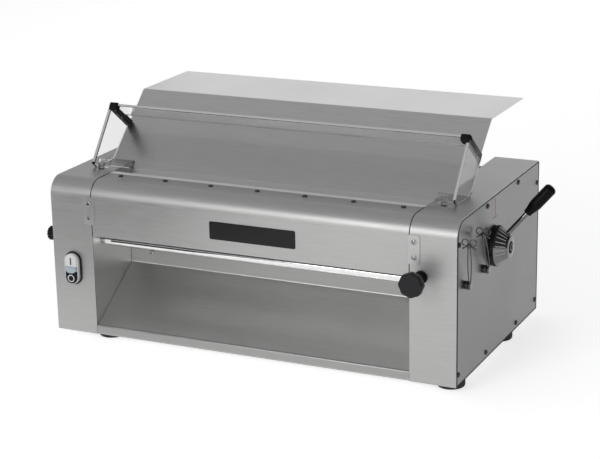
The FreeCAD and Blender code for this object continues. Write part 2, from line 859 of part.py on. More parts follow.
bush_lows = {
    "left": "-inner_x - bush_length",
    "right": "inner_x",
}
for place_name, y in (("front", "front_roller_y"), ("rear", "rear_roller_y")):
    bush_rings = []
    for side, low_x in bush_lows.items():
        outside = rod(f"{place_name}_{side}_bush_out", (low_x, y, "roller_z"), along_x,
                      "journal_radius + bush_wall", "bush_length")
        bore = rod(f"{place_name}_{side}_bush_bore", (low_x, y, "roller_z"), along_x,
                   "journal_radius + running_gap", "bush_length")
        bush_rings.append(cut(f"{place_name}_{side}_bush", outside, bore))
    piece(group(f"{place_name}_bushes", *bush_rings))


# Roller gears: long slim teeth, so that they stay in mesh while the gap opens
def gear_shape(middle_y, turn):
    """A spur gear with straight flanks; turn sets the angle of its first tooth."""
    pitch_angle = 2 * math.pi / s.gear_teeth
    corners = []
    for tooth in range(int(s.gear_teeth)):
        middle = math.radians(turn) + tooth * pitch_angle
        for radius, width in (
            (s.tooth_root_radius, -s.tooth_root_width),
            (s.tooth_tip_radius, -s.tooth_tip_width),
            (s.tooth_tip_radius, s.tooth_tip_width),
            (s.tooth_root_radius, s.tooth_root_width),
        ):
            angle = middle + math.asin(width / 2 / radius)
            corners.append(
                vector(
                    -s.gear_start - s.gear_width,
                    middle_y + radius * math.cos(angle),
                    s.roller_z + radius * math.sin(angle),
                )
            )
    blank = Part.Face(Part.makePolygon(corners + corners[:1])).extrude(along_x * s.gear_width)
    bore_start = vector(-s.gear_start - s.gear_width, middle_y, s.roller_z)
    return blank.cut(Part.makeCylinder(s.journal_radius + s.running_gap, s.gear_width, bore_start, along_x))


half_pitch = 180 / s.gear_teeth
piece(shaped("front_roller_gear", gear_shape(s.front_roller_y, 0)))
piece(shaped("rear_roller_gear", gear_shape(rear_roller_y, half_pitch)))

# Gap adjuster: the lever's shaft turns two spiral cams, whose slots move the carriage pins
plate_x = inner_x + s.wall_gauge + s.slide_gap
pin_y = s.hub_y - s.pin_distance
plate_half_width = s.carriage_half_width + s.carriage_lip
plate_half_height = s.carriage_half_height + s.carriage_lip
arm_half = 2 * s.pin_radius
slider = Part.makeBox(
    plate_x - inner_x,
    2 * s.carriage_half_width,
    2 * s.carriage_half_height,
    vector(inner_x, rear_roller_y - s.carriage_half_width, s.roller_z - s.carriage_half_height),
)
carriage_plate = Part.makeBox(
    s.carriage_gauge,
    2 * plate_half_width,
    2 * plate_half_height,
    vector(plate_x, rear_roller_y - plate_half_width, s.roller_z - plate_half_height),
)
pin_arm = Part.makeBox(
    s.carriage_gauge,
    pin_y + arm_half - rear_roller_y,
    s.roller_z - s.hub_z + arm_half,
    vector(plate_x, rear_roller_y, s.hub_z - arm_half),
)
cam_pin = Part.makeCylinder(
    s.pin_radius, s.cam_start + s.cam_gauge - plate_x, vector(plate_x, pin_y, s.hub_z), along_x
)
carriage_bore = Part.makeCylinder(
    s.journal_radius + s.bush_wall + s.running_gap,
    s.tower_width,
    vector(inner_x - past, rear_roller_y, s.roller_z),
    along_x,
)
carriage_shape = slider.fuse([carriage_plate, pin_arm, cam_pin]).cut(carriage_bore)
piece(shaped("roller_carriages", both_sides(carriage_shape)))


cam_steps = 24


def cam_point(turn, side):
    """A point of the spiral slot: its middle line for side 0, its two edges for side 1 and -1."""
    radius = s.pin_distance - s.cam_rise * turn + side * (s.pin_radius + s.slide_gap)
    return vector(0, -radius * math.cos(turn), radius * math.sin(turn))


def cam_edge(side):
    """One edge of the slot, a spiral whose radius falls evenly as the cam turns."""
    turns = [
        math.radians(s.lever_min + (s.lever_max - s.lever_min) * step / cam_steps)
        for step in range(cam_steps + 1)
    ]
    curve = Part.BSplineCurve()
    curve.interpolate([cam_point(turn, side) for turn in turns])
    return curve.toShape()


def cam_end(turn, way):
    """The round end of the slot, past the last place that the pin reaches."""
    along = vector(0, math.sin(turn), math.cos(turn)) * (way * (s.pin_radius + s.slide_gap))
    return Part.Arc(cam_point(turn, 1), cam_point(turn, 0) + along, cam_point(turn, -1)).toShape()


first_turn = math.radians(s.lever_min)
last_turn = math.radians(s.lever_max)
slot_edges = [cam_edge(1), cam_end(last_turn, 1), cam_edge(-1), cam_end(first_turn, -1)]
slot_face = Part.Face(Part.Wire(Part.__sortEdges__(slot_edges)))
cam_shape = Part.makeCylinder(s.cam_radius, s.cam_gauge, vector(), along_x).cut(
    [
        slot_face.extrude(along_x * s.cam_gauge),
        Part.makeCylinder(s.adjust_shaft_radius + s.running_gap, s.cam_gauge, vector(), along_x),
    ]
)
cam_places = [vector(low_x, s.hub_y, s.hub_z) for low_x in (-s.cam_start - s.cam_gauge, s.cam_start)]
piece(shaped("spiral_cams", Part.makeCompound([cam_shape.translated(spot) for spot in cam_places])))
shaft_left = "(cam_start + cam_gauge + sheet_gauge)"
shaft_right = "(outer_x + hub_ring_length + hub_cone_length / 2)"
piece(
    rod("adjust_shaft", (f"-{shaft_left}", "hub_y", "hub_z"), along_x, "adjust_shaft_radius",
        f"{shaft_left} + {shaft_right}")
)

# Adjusting hub on the right panel: a fixed ring, a turned cone, its end screw and the lever with its grip
hub_start = ("outer_x", "hub_y", "hub_z")
ring_blank = rod("ring_blank", hub_start, along_x, "hub_ring_radius", "hub_ring_length")
ring_bore = rod("ring_bore", hub_start, along_x, "adjust_shaft_radius + slide_gap", "hub_ring_length")
piece(cut("hub_ring", ring_blank, ring_bore))
lever_tilt = math.radians(s.lever_out_angle)
lever_back = math.radians(s.lever_back_angle)
lever_way = vector(
    math.sin(lever_tilt),
    math.cos(lever_tilt) * math.sin(lever_back),
    math.cos(lever_tilt) * math.cos(lever_back),
)
cone_x = outer_x + s.hub_ring_length + s.slide_gap
lever_clear = s.adjust_shaft_radius + s.slide_gap + s.lever_radius * math.sin(lever_tilt)
lever_foot = lever_clear / math.cos(lever_tilt)
lever_root = vector(cone_x, s.hub_y, s.hub_z) + lever_way * lever_foot
hub_cone = Part.makeCone(
    s.hub_large_radius, s.hub_small_radius, s.hub_cone_length, vector(cone_x, s.hub_y, s.hub_z), along_x
)
shaft_end = outer_x + s.hub_ring_length + s.hub_cone_length / 2
hub_bore = Part.makeCylinder(
    s.adjust_shaft_radius + s.running_gap, shaft_end - cone_x, vector(cone_x, s.hub_y, s.hub_z), along_x
)
lever_bore = Part.makeCylinder(s.lever_radius + s.running_gap, s.lever_length, lever_root, lever_way)
piece(shaped("adjust_hub", hub_cone.cut([hub_bore, lever_bore])))
piece(
    rod("hub_screw", ("outer_x + hub_ring_length + slide_gap + hub_cone_length", "hub_y", "hub_z"), along_x,
        "hub_screw_radius", "hub_screw_height")
)
lever_shape = Part.makeCylinder(s.lever_radius, s.lever_length, lever_root, lever_way)
piece(shaped("adjust_lever", lever_shape))
grip_start = lever_root + lever_way * (s.lever_length - s.grip_overlap)
grip_blank = Part.makeCone(s.grip_small_radius, s.grip_large_radius, s.grip_length, grip_start, lever_way)
end_edge = next(e for e in grip_blank.Edges if abs(e.Length - 2 * math.pi * s.grip_large_radius) < s.seat_gap)
grip_shape = grip_blank.makeFillet(s.grip_round, [end_edge]).cut(
    Part.makeCylinder(s.lever_radius + s.running_gap, s.grip_overlap, grip_start, lever_way)
)
piece(shaped("lever_grip", grip_shape))
piece(
    box("index_label", ("outer_x", "hub_y - label_width / 2", "label_bottom"),
        ("label_gauge", "label_width", "label_height"))
)

# Scrapers: a blade on a sleeve round each rod, leaning in to the underside of its roller
blade_half = inner_x - s.roller_end_gap
rod_point = vector(-blade_half, s.front_rod_y, s.rod_z)
sleeve = Part.makeCylinder(s.rod_radius + s.sleeve_wall, 2 * blade_half, rod_point, along_x)
blade = Part.makeBox(2 * blade_half, s.blade_gauge, s.blade_length, rod_point)
blade.rotate(rod_point, along_x, -s.blade_angle)
sleeve_bore = Part.makeCylinder(s.rod_radius + s.running_gap, 2 * blade_half, rod_point, along_x)
scraper_shape = sleeve.fuse(blade).cut(sleeve_bore)
between_rods = vector(0, (s.front_rod_y + s.rear_rod_y) / 2, s.rod_z)
piece(shaped("front_scraper", scraper_shape))
piece(shaped("rear_scraper", scraper_shape.mirror(between_rods, along_y)))

# Scraper rods run out through both side panels, with a nut on the right end of each
# and a knob on the left end of the front one
rod_right = "(outer_x + slide_gap + nut_length + rod_overhang)"
rod_lefts = {"front": "(outer_x + rod_knob_length / 2)", "rear": "(outer_x + rod_overhang)"}
for place_name, left_end in rod_lefts.items():
    y = f"{place_name}_rod_y"
    piece(
        rod(f"{place_name}_scraper_rod", (f"-{left_end}", y, "rod_z"), along_x, "rod_radius",
            f"{left_end} + {rod_right}")
    )
    nut_start = ("outer_x + slide_gap", y, "rod_z")
    nut_blank = doc.addObject("Part::Prism", f"{place_name}_nut_blank")
    nut_blank.Polygon = 6
    nut_blank.Placement = FreeCAD.Placement(vector(), FreeCAD.Rotation(along_z, along_x))
    place(bind(nut_blank, ("Circumradius", "Height"), ("nut_radius", "nut_length")), nut_start)
    nut_bore = rod(f"{place_name}_nut_bore", nut_start, along_x, "rod_radius + running_gap", "nut_length")
    piece(cut(f"{place_name}_rod_nut", nut_blank, nut_bore))
knob_low_x = "-outer_x - slide_gap - rod_knob_length"
rod_knob_blank = rod("rod_knob_blank", (knob_low_x, "front_rod_y", "rod_z"), along_x, "rod_knob_radius",
                     "rod_knob_length")
rod_knob_bore = rod("rod_knob_bore", ("-outer_x - rod_knob_length / 2", "front_rod_y", "rod_z"), along_x,
                    "rod_radius + running_gap", "rod_knob_length")
piece(cut("rod_knob", rod_knob_blank, rod_knob_bore))


# Wire clips: a ring on the rod's end, two legs up to a collar, and a bow of two loops with two tails
def clip_shape(rod_y, lean_forward):
    """One clip, drawn as round wire; it stands off the panel and leans to the front."""
    wire = s.clip_wire_radius
    ring_radius = s.rod_radius + s.slide_gap + wire
    ring_x = outer_x + 2 * s.slide_gap + s.nut_length + wire
    ring = Part.makeTorus(ring_radius, wire, vector(ring_x, rod_y, s.rod_z), along_x)
    collar_x = outer_x + s.clip_stand_off
    collar = vector(collar_x, rod_y - lean_forward, s.rod_z + s.clip_rise)
    solids = [ring, Part.makeSphere(s.clip_collar_radius, collar)]
    for way in (-1, 1):
        out = along_x * way
        foot_turn = math.radians(way * s.clip_foot_angle)
        foot = vector(
            ring_x,
            rod_y + ring_radius * math.sin(foot_turn),
            s.rod_z + ring_radius * math.cos(foot_turn),
        )
        leg = collar + out * s.clip_leg_spread - foot
        solids.append(Part.makeCylinder(wire, leg.Length, foot, leg))
        loop_middle = collar + out * s.clip_loop_out + along_z * s.clip_loop_radius
        solids.append(Part.makeTorus(s.clip_loop_radius, wire, loop_middle, along_y))
        tail = out * s.clip_tail - along_z * (s.clip_tail / 2)
        solids.append(Part.makeCylinder(wire, tail.Length, collar + out * s.clip_leg_spread, tail))
    return solids[0].fuse(solids[1:])


clip_pair = [
    clip_shape(s.front_rod_y, s.front_clip_lean),
    clip_shape(s.rear_rod_y, s.rear_clip_lean),
]
piece(shaped("rod_clips", Part.makeCompound(clip_pair)))

# Drive: motor and gearbox behind the chute, a shaft through the left wall, two pulleys and a flat belt
gearbox_end = "(-inner_x + gearbox_length)"
gearbox_blank = box(
    "gearbox_blank",
    ("-inner_x", "motor_y - gearbox_half", "motor_z - gearbox_half"),
    ("gearbox_length", "2 * gearbox_half", "2 * gearbox_half"),
)
shaft_seat = "(gearbox_length / 2)"
gearbox_bore = rod("gearbox_bore", ("-inner_x", "motor_y", "motor_z"), along_x,
                   "drive_shaft_radius + running_gap", shaft_seat)
piece(cut("gearbox", gearbox_blank, gearbox_bore))
piece(rod("motor", (gearbox_end, "motor_y", "motor_z"), along_x, "motor_radius", "motor_length"))
cradle_bottom = "(foot_height + base_gauge)"
gearbox_rest = box(
    "gearbox_rest",
    ("-inner_x + gearbox_rest_inset", "motor_y - gearbox_half", cradle_bottom),
    (
        "gearbox_length - gearbox_rest_inset",
        "2 * gearbox_half",
        f"motor_z - gearbox_half - {cradle_bottom}",
    ),
)
saddle_blank = box(
    "saddle_blank",
    (f"{gearbox_end} + motor_length / 2", "motor_y - motor_radius", cradle_bottom),
    ("gearbox_length", "2 * motor_radius", f"motor_z - motor_radius / 2 - {cradle_bottom}"),
)
saddle_round = rod("saddle_round", (gearbox_end, "motor_y", "motor_z"), along_x,
                   "motor_radius + seat_gap", "motor_length")
piece(group("motor_cradle", gearbox_rest, cut("motor_saddle", saddle_blank, saddle_round)))
drive_left = "(pulley_start + pulley_width + rim_gauge)"
piece(
    rod("drive_shaft", (f"-{drive_left}", "motor_y", "motor_z"), along_x, "drive_shaft_radius",
        f"{drive_left} - inner_x + {shaft_seat} - slide_gap")
)
for name, y, z, radius, bore_radius in (
    ("roller_pulley", "front_roller_y", "roller_z", "roller_pulley_radius", "journal_radius"),
    ("motor_pulley", "motor_y", "motor_z", "motor_pulley_radius", "drive_shaft_radius"),
):
    start = ("-pulley_start - pulley_width", y, z)
    face = rod(f"{name}_face", start, along_x, radius, "pulley_width")
    rims = [
        rod(f"{name}_rim_{count}", (low_x, y, z), along_x, f"{radius} + pulley_rim", "rim_gauge")
        for count, low_x in enumerate(("-pulley_start - pulley_width", "-pulley_start - rim_gauge"))
    ]
    bore = rod(f"{name}_bore", start, along_x, f"{bore_radius} + running_gap", "pulley_width")
    piece(cut(name, fuse(f"{name}_blank", face, *rims), bore))


def belt_loop(offset):
    """The outline round both pulleys, offset outwards from their faces."""
    first = vector(0, s.front_roller_y, s.roller_z)
    last = vector(0, s.motor_y, s.motor_z)
    large = s.roller_pulley_radius + offset
    small = s.motor_pulley_radius + offset
    line = last - first
    forward = vector(line).normalize()
    side = vector(0, -forward.z, forward.y)
    lean_cos = (large - small) / line.Length
    lean_sin = math.sqrt(1 - lean_cos ** 2)
    up = forward * lean_cos + side * lean_sin
    down = forward * lean_cos - side * lean_sin
    edges = [
        Part.Arc(first + up * large, first - forward * large, first + down * large).toShape(),
        Part.LineSegment(first + down * large, last + down * small).toShape(),
        Part.Arc(last + down * small, last + forward * small, last + up * small).toShape(),
        Part.LineSegment(last + up * small, first + up * large).toShape(),
    ]
    return Part.Face(Part.Wire(edges))


belt_width = s.pulley_width - 2 * s.rim_gauge - 2 * s.slide_gap
belt_face = belt_loop(s.slide_gap + s.belt_gauge).cut(belt_loop(s.slide_gap))
belt_low_x = -s.pulley_start - s.pulley_width + s.rim_gauge + s.slide_gap
belt_shape = belt_face.extrude(along_x * belt_width).translated(vector(belt_low_x, 0, 0))
piece(shaped("drive_belt", belt_shape))

# Push-button switch on the left tower: an oval bezel round two buttons that travel,
# each round at its outer end and flat beside the pilot lens between them, and the block behind
round_pitch = "(bezel_height - bezel_width)"
bezel_parts = [
    box("bezel_middle", ("switch_x - bezel_width / 2", "-bezel_depth", f"switch_z - {round_pitch} / 2"),
        ("bezel_width", "bezel_depth", round_pitch))
]
window_half = "(button_radius + slide_gap)"
bezel_cutters = [
    box("window_middle", (f"switch_x - {window_half}", "-bezel_depth", "switch_z - button_pitch / 2"),
        (f"2 * {window_half}", "bezel_depth", "button_pitch"))
]
lens_edge = "(lens_height / 2 + slide_gap)"
flat_lows = {
    "start": f"switch_z + {lens_edge}",
    "stop": "switch_z - button_pitch / 2",
}
for name, way, extra in (("start", 1, "0"), ("stop", -1, "stop_extra")):
    middle_z = f"switch_z + {way} * {round_pitch} / 2"
    bezel_parts.append(
        rod(f"bezel_{name}_end", ("switch_x", "-bezel_depth", middle_z), along_y,
            "bezel_width / 2", "bezel_depth")
    )
    button_z = f"switch_z + {way} * button_pitch / 2"
    bezel_cutters.append(
        rod(f"{name}_window", ("switch_x", "-bezel_depth", button_z), along_y, window_half, "bezel_depth")
    )
    button_front = f"-bezel_depth - button_proud - {extra}"
    button_length = f"(bezel_depth + button_proud + {extra} - button_travel - slide_gap)"
    button_end = rod(f"{name}_button_end", ("switch_x", button_front, button_z), along_y,
                     "button_radius", button_length)
    button_flat = box(f"{name}_button_flat", ("switch_x - button_radius", button_front, flat_lows[name]),
                      ("2 * button_radius", button_length, f"button_pitch / 2 - {lens_edge}"))
    piece(fuse(f"{name}_button", button_end, button_flat))
piece(cut("switch_bezel", fuse("bezel_blank", *bezel_parts), *bezel_cutters))
piece(
    box("pilot_lens",
        ("switch_x - lens_width / 2", "-bezel_depth - lens_proud", "switch_z - lens_height / 2"),
        ("lens_width", "bezel_depth + lens_proud + sheet_gauge", "lens_height"))
)
block_half = "(bezel_width / 2 + switch_hole_wall / 2)"
piece(
    box("switch_block", (f"switch_x - {block_half}", "sheet_gauge", f"switch_z - {block_half}"),
        (f"2 * {block_half}", "block_depth", f"2 * {block_half}"))
)

# Star knob on the right tower: its stud turns in a bush set in the casing
knob_back = s.knob_front - s.knob_length
star_blank = Part.makeCylinder(s.knob_radius, s.knob_length, vector(0, -s.knob_front, 0), along_y)
star_boss = Part.makeCylinder(
    s.knob_boss_radius, knob_back - s.bush_wall / 2 - s.slide_gap, vector(0, -knob_back, 0), along_y
)
scallop_radius = math.pi * s.knob_radius / s.knob_lobes / 2
scallops = [
    Part.makeCylinder(
        scallop_radius,
        s.knob_length,
        vector(
            (s.knob_radius + scallop_radius / 2) * math.cos(2 * math.pi * lobe / s.knob_lobes),
            -s.knob_front,
            (s.knob_radius + scallop_radius / 2) * math.sin(2 * math.pi * lobe / s.knob_lobes),
        ),
        along_y,
    )
    for lobe in range(int(s.knob_lobes))
]
stud_bore = Part.makeCylinder(
    s.stud_radius + s.running_gap, s.knob_front / 2, vector(0, -s.knob_front / 2, 0), along_y
)
star_shape = star_blank.cut(scallops).fuse(star_boss).cut(stud_bore)
piece(shaped("star_knob", star_shape.translated(vector(s.knob_x, 0, s.knob_z))))
piece(
    rod("knob_stud", ("knob_x", "-knob_front / 2", "knob_z"), along_y,
        "stud_radius", "knob_front / 2 + bush_length")
)
knob_bush_start = ("knob_x", "-bush_wall / 2", "knob_z")
knob_bush_length = "bush_wall / 2 + bush_length"
bush_blank = rod("knob_bush_blank", knob_bush_start, along_y, "stud_radius + bush_wall", knob_bush_length)
bush_bore = rod("knob_bush_bore", knob_bush_start, along_y, "stud_radius + running_gap", knob_bush_length)
piece(cut("knob_bush", bush_blank, bush_bore))

# Cable gland on the back of the left tower
gland_start = ("switch_x", "body_depth", "gland_z")
gland_blank = rod("gland_blank", gland_start, along_y, "gland_radius", "gland_length")
gland_bore = rod("gland_bore", gland_start, along_y, "gland_bore_radius", "gland_length")
piece(cut("cable_gland", gland_blank, gland_bore))

# The round-headed screws of the casing, cover, brackets, chute and feet
piece(group("casing_screws", *screws))

doc.recompute()
for obj in doc.Objects:
    if "Invalid" in obj.State or "Error" in obj.State:
        raise RuntimeError(f"{obj.Name} failed to build")
for obj in pieces:
    if obj.Shape.isNull() or not obj.Shape.isValid():
        raise RuntimeError(f"{obj.Label} has no valid shape")

# The origin lies on the table under the middle of the whole machine
whole = Part.makeCompound([obj.Shape for obj in pieces]).optimalBoundingBox(False)
to_origin = vector(-whole.Center.x, -whole.Center.y, -whole.ZMin)
os.makedirs("parts", exist_ok=True)
for obj in pieces:
    obj.Shape.translated(to_origin).exportStep(f"parts/{obj.Label}.step")
print(f"{len(pieces)} pieces, moved by {to_origin.x:.4f}, {to_origin.y:.4f}, {to_origin.z:.4f}")
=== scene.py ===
import json
import math
import bmesh
import bpy
import numpy as np
from mathutils import Matrix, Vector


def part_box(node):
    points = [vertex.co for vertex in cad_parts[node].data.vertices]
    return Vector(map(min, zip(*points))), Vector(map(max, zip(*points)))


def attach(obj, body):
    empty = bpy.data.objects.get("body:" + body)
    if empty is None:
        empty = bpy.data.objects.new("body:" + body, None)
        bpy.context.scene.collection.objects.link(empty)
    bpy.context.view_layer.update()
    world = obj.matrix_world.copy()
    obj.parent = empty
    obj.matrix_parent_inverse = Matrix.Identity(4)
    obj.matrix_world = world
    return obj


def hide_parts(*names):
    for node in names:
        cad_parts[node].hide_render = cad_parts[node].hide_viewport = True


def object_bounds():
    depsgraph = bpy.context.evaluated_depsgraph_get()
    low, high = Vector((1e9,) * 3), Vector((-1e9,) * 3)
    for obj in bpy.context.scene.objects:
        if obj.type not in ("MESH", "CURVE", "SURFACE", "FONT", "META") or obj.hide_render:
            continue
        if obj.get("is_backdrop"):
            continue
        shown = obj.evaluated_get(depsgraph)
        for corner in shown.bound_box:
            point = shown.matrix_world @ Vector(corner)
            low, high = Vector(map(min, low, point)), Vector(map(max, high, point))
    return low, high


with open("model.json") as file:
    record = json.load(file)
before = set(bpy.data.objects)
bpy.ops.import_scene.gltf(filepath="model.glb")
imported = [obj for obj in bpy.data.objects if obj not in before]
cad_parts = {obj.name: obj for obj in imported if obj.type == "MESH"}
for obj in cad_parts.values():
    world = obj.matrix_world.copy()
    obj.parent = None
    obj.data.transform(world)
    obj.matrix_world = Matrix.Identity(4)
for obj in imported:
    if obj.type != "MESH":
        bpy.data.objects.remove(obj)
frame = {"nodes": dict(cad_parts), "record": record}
cad_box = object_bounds()
nodes = frame["nodes"]

# Viewpoint: a long lens stands to the right of the machine's front and looks down on it,
# so the front, the right side panel and the feed tray are all seen.
cover_low, cover_high = np.array(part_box("front_cover"))
middle_x = (cover_low[0] + cover_high[0]) / 2
front_y = cover_low[1]
camera_place = np.array([middle_x + 1.20566, front_y - 2.34264, 1.02039])
camera_yaw, camera_pitch, camera_roll = 0.44222, 0.29503, -0.01934
look = np.array([
    -math.sin(camera_yaw) * math.cos(camera_pitch),
    math.cos(camera_yaw) * math.cos(camera_pitch),
    -math.sin(camera_pitch),
])
level_right = np.array([math.cos(camera_yaw), math.sin(camera_yaw), 0])
level_up = np.cross(level_right, look)
view_right = math.cos(camera_roll) * level_right + math.sin(camera_roll) * level_up
view_up = math.cos(camera_roll) * level_up - math.sin(camera_roll) * level_right
camera = bpy.data.objects.new("camera", bpy.data.cameras.new("camera"))
bpy.context.scene.collection.objects.link(camera)
bpy.context.scene.camera = camera
camera.data.lens = 106.81
camera.data.sensor_fit = "HORIZONTAL"
camera.data.sensor_width = 36
camera.data.clip_end = 60
camera.matrix_world = Matrix.Translation(camera_place.tolist()) @ Matrix(
    np.column_stack([view_right, view_up, -look]).tolist()
).to_4x4()

# Studio: a pale floor and a surround that is white to the camera and, in the light it gives, greys towards
# the ceiling and the right. Three soft lamps stand round it, the strongest at the front left, and a dark
# card that the camera does not see leans before the left tower, so that the steel has something to mirror.
bpy.context.scene.view_settings.view_transform = "Standard"


def make_object(name, points, faces, smooth=True):
    """A mesh object at the origin, welded, its faces outwards and its corners over 35 degrees sharp."""
    mesh = bpy.data.meshes.new(name)
    mesh.from_pydata(np.asarray(points, float).tolist(), [], [list(map(int, face)) for face in faces])
    work = bmesh.new()
    work.from_mesh(mesh)
    bmesh.ops.remove_doubles(work, verts=work.verts, dist=1e-6)
    bmesh.ops.recalc_face_normals(work, faces=work.faces)
    work.to_mesh(mesh)
    work.free()
    mesh.polygons.foreach_set("use_smooth", [smooth] * len(mesh.polygons))
    if smooth:
        mesh.set_sharp_from_angle(angle=math.radians(35))
    piece = bpy.data.objects.new(name, mesh)
    bpy.context.scene.collection.objects.link(piece)
    return piece


def new_material(name, **sockets):
    """A material, its node tree and its Principled shader, whose constant sockets are set."""
    material = bpy.data.materials.new(name)
    material.use_nodes = True
    shader = material.node_tree.nodes["Principled BSDF"]
    for socket, value in sockets.items():
        shader.inputs[socket.replace("_", " ")].default_value = value
    return material, material.node_tree, shader


def add_node(tree, kind, inputs=None, **settings):
    """A node with its settings; inputs gives socket values, or the sockets that feed it."""
    node = tree.nodes.new(kind)
    for name, value in settings.items():
        setattr(node, name, value)
    for socket, value in (inputs or {}).items():
        if isinstance(value, bpy.types.NodeSocket):
            tree.links.new(value, node.inputs[socket])
        else:
            node.inputs[socket].default_value = value
    return node


def unit(vectors):
    """Vectors scaled to length one: one alone, or one in each row."""
    return vectors / np.linalg.norm(vectors, axis=-1, keepdims=True)


floor_half = 12.0
floor_corners = [(x, y, 0) for x, y in ((-1, -1), (1, -1), (1, 1), (-1, 1))]
floor = make_object("floor", np.array(floor_corners) * floor_half, [(0, 1, 2, 3)], smooth=False)
floor_paint, tree, shader = new_material("floor_paint", Base_Color=(0.8, 0.8, 0.8, 1), Roughness=0.9)
floor_lift = 0.66
light_path = add_node(tree, "ShaderNodeLightPath").outputs
seen = light_path["Is Camera Ray"]
for ray in ("Is Glossy Ray", "Is Transmission Ray"):
    seen = add_node(tree, "ShaderNodeMath", {0: seen, 1: light_path[ray]}, operation="MAXIMUM").outputs[0]
lift = add_node(tree, "ShaderNodeMath", {0: seen, 1: floor_lift}, operation="MULTIPLY").outputs[0]
shader.inputs["Emission Color"].default_value = (1, 1, 1, 1)
tree.links.new(lift, shader.inputs["Emission Strength"])
floor.data.materials.append(floor_paint)
floor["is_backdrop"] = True
card_left, card_right = -0.78, -0.36
card_near, card_far = (-0.55, 0.002), (-1.0, 0.35)
card_corners = [
    (card_left, *card_far),
    (card_right, *card_far),
    (card_right, *card_near),
    (card_left, *card_near),
]
card = make_object("dark_card", card_corners, [(0, 1, 2, 3)], smooth=False)
card_paper, _, _ = new_material("card_paper", Base_Color=(0.03, 0.03, 0.03, 1), Roughness=0.9)
card.data.materials.append(card_paper)
card.visible_camera = False
card.visible_diffuse = False
card.visible_shadow = False
card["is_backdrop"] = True

world = bpy.data.worlds.new("studio")
bpy.context.scene.world = world
world.use_nodes = True
tree = world.node_tree
direction = add_node(tree, "ShaderNodeTexCoord").outputs["Generated"]
way = add_node(tree, "ShaderNodeSeparateXYZ", {0: direction}).outputs
ramp = add_node(tree, "ShaderNodeValToRGB", {0: way["Z"]})
for element, height, grey in zip(ramp.color_ramp.elements, (0.1, 0.8), (0.58, 0.4)):
    element.position = height
    element.color = (grey, grey, grey + 0.01, 1)
tree.links.new(ramp.outputs["Color"], tree.nodes["Background"].inputs["Color"])
dim_range = {"Value": way["X"], "From Min": 0.1, "From Max": 0.5, "To Min": 1.0, "To Max": 0.25}
dim = add_node(tree, "ShaderNodeMapRange", dim_range).outputs[0]
tree.links.new(dim, tree.nodes["Background"].inputs["Strength"])
white_wall = add_node(tree, "ShaderNodeBackground", {"Color": (1, 1, 1, 1), "Strength": 1.0}).outputs[0]
camera_ray = add_node(tree, "ShaderNodeLightPath").outputs["Is Camera Ray"]
surround = {0: camera_ray, 1: tree.nodes["Background"].outputs[0], 2: white_wall}
surround_mix = add_node(tree, "ShaderNodeMixShader", surround).outputs[0]
tree.links.new(surround_mix, tree.nodes["World Output"].inputs["Surface"])

for name, place, aim, size, power in (
    ("key_lamp", (-0.68, -2.95, 1.5), (0.0, 0.0, 0.15), 1.2, 24),
    ("back_lamp", (-1.1, 3.0, 1.45), (0, 0, 0.3), 1.8, 4),
    ("fill_lamp", (1.5, -2.4, 0.9), (-0.2, 0, 0.15), 1.6, 9),
):
    lamp = bpy.data.lights.new(name, "AREA")
    lamp.size = size
    lamp.energy = power
    holder = bpy.data.objects.new(name, lamp)
    bpy.context.scene.collection.objects.link(holder)
    away = unit(np.subtract(place, aim))
    side = unit(np.cross((0, 0, 1), away))
    turn = Matrix(np.column_stack([side, np.cross(away, side), away]).tolist()).to_4x4()
    holder.matrix_world = Matrix.Translation(place) @ turn


# Casing: wraps, walls, side panels, cover, base and back panel are folded from stainless sheet.
# The mill brushing runs level along each panel, in fine lines that differ in depth. The chute's lip
# and its upper plate are painted darker than its slope: painted shade, set by height alone.
def object_place(tree):
    """Each point's place in its object's own frame."""
    return add_node(tree, "ShaderNodeTexCoord").outputs["Object"]


def noise(tree, place, scale, detail=2.0):
    """The value of a noise of so many grains to the metre."""
    grains = {"Vector": place, "Scale": scale, "Detail": detail}
    return add_node(tree, "ShaderNodeTexNoise", grains).outputs[0]


def tint(tree, value, low, high):
    """Links the base colour to a noise: the low colour up to 0.3 on its scale, the high one from 0.7."""
    ramp = add_node(tree, "ShaderNodeValToRGB", {0: value})
    for element, place_on_ramp, colour in zip(ramp.color_ramp.elements, (0.3, 0.7), (low, high)):
        element.position = place_on_ramp
        element.color = (*colour, 1)
    tree.links.new(ramp.outputs["Color"], tree.nodes["Principled BSDF"].inputs["Base Color"])


def dulled(tree, value, low, high):
    """A roughness from a noise: low at 0.3 on its scale, high at 0.7."""
    ends = {"From Min": 0.3, "From Max": 0.7, "To Min": low, "To Max": high}
    return add_node(tree, "ShaderNodeMapRange", {"Value": value, **ends}).outputs[0]


def brushed_steel(name, grain, shade, rough, metal=1.0):
    """Stainless sheet: noise drawn out along the grain axis shades the colour, gloss and relief."""
    material, tree, shader = new_material(name, Metallic=metal)
    lines_per_metre, drawn_out, gloss_spread, smear_share = 700.0, 25.0, 0.04, 0.1
    stretch = [lines_per_metre] * 3
    stretch[grain] = drawn_out
    place = object_place(tree)
    lines_place = add_node(tree, "ShaderNodeMapping", {"Vector": place, "Scale": stretch}).outputs[0]
    lines = noise(tree, lines_place, 1.0, 3.0)
    steel = shade * np.array([1, 1, 0.985])
    tint(tree, lines, 0.94 * steel, 1.05 * steel)
    gloss = dulled(tree, lines, rough - gloss_spread, rough + gloss_spread)
    smears = {0: noise(tree, place, 6.0), 1: smear_share, 2: gloss}
    smeared = add_node(tree, "ShaderNodeMath", smears, operation="MULTIPLY_ADD").outputs[0]
    tree.links.new(smeared, shader.inputs["Roughness"])
    relief = add_node(tree, "ShaderNodeBump", {"Height": lines, "Strength": 0.07, "Distance": 0.0002})
    tree.links.new(relief.outputs[0], shader.inputs["Normal"])
    return material


def dress(material, *names):
    """Gives a finish to CAD nodes."""
    for name in names:
        nodes[name].data.materials.clear()
        nodes[name].data.materials.append(material)


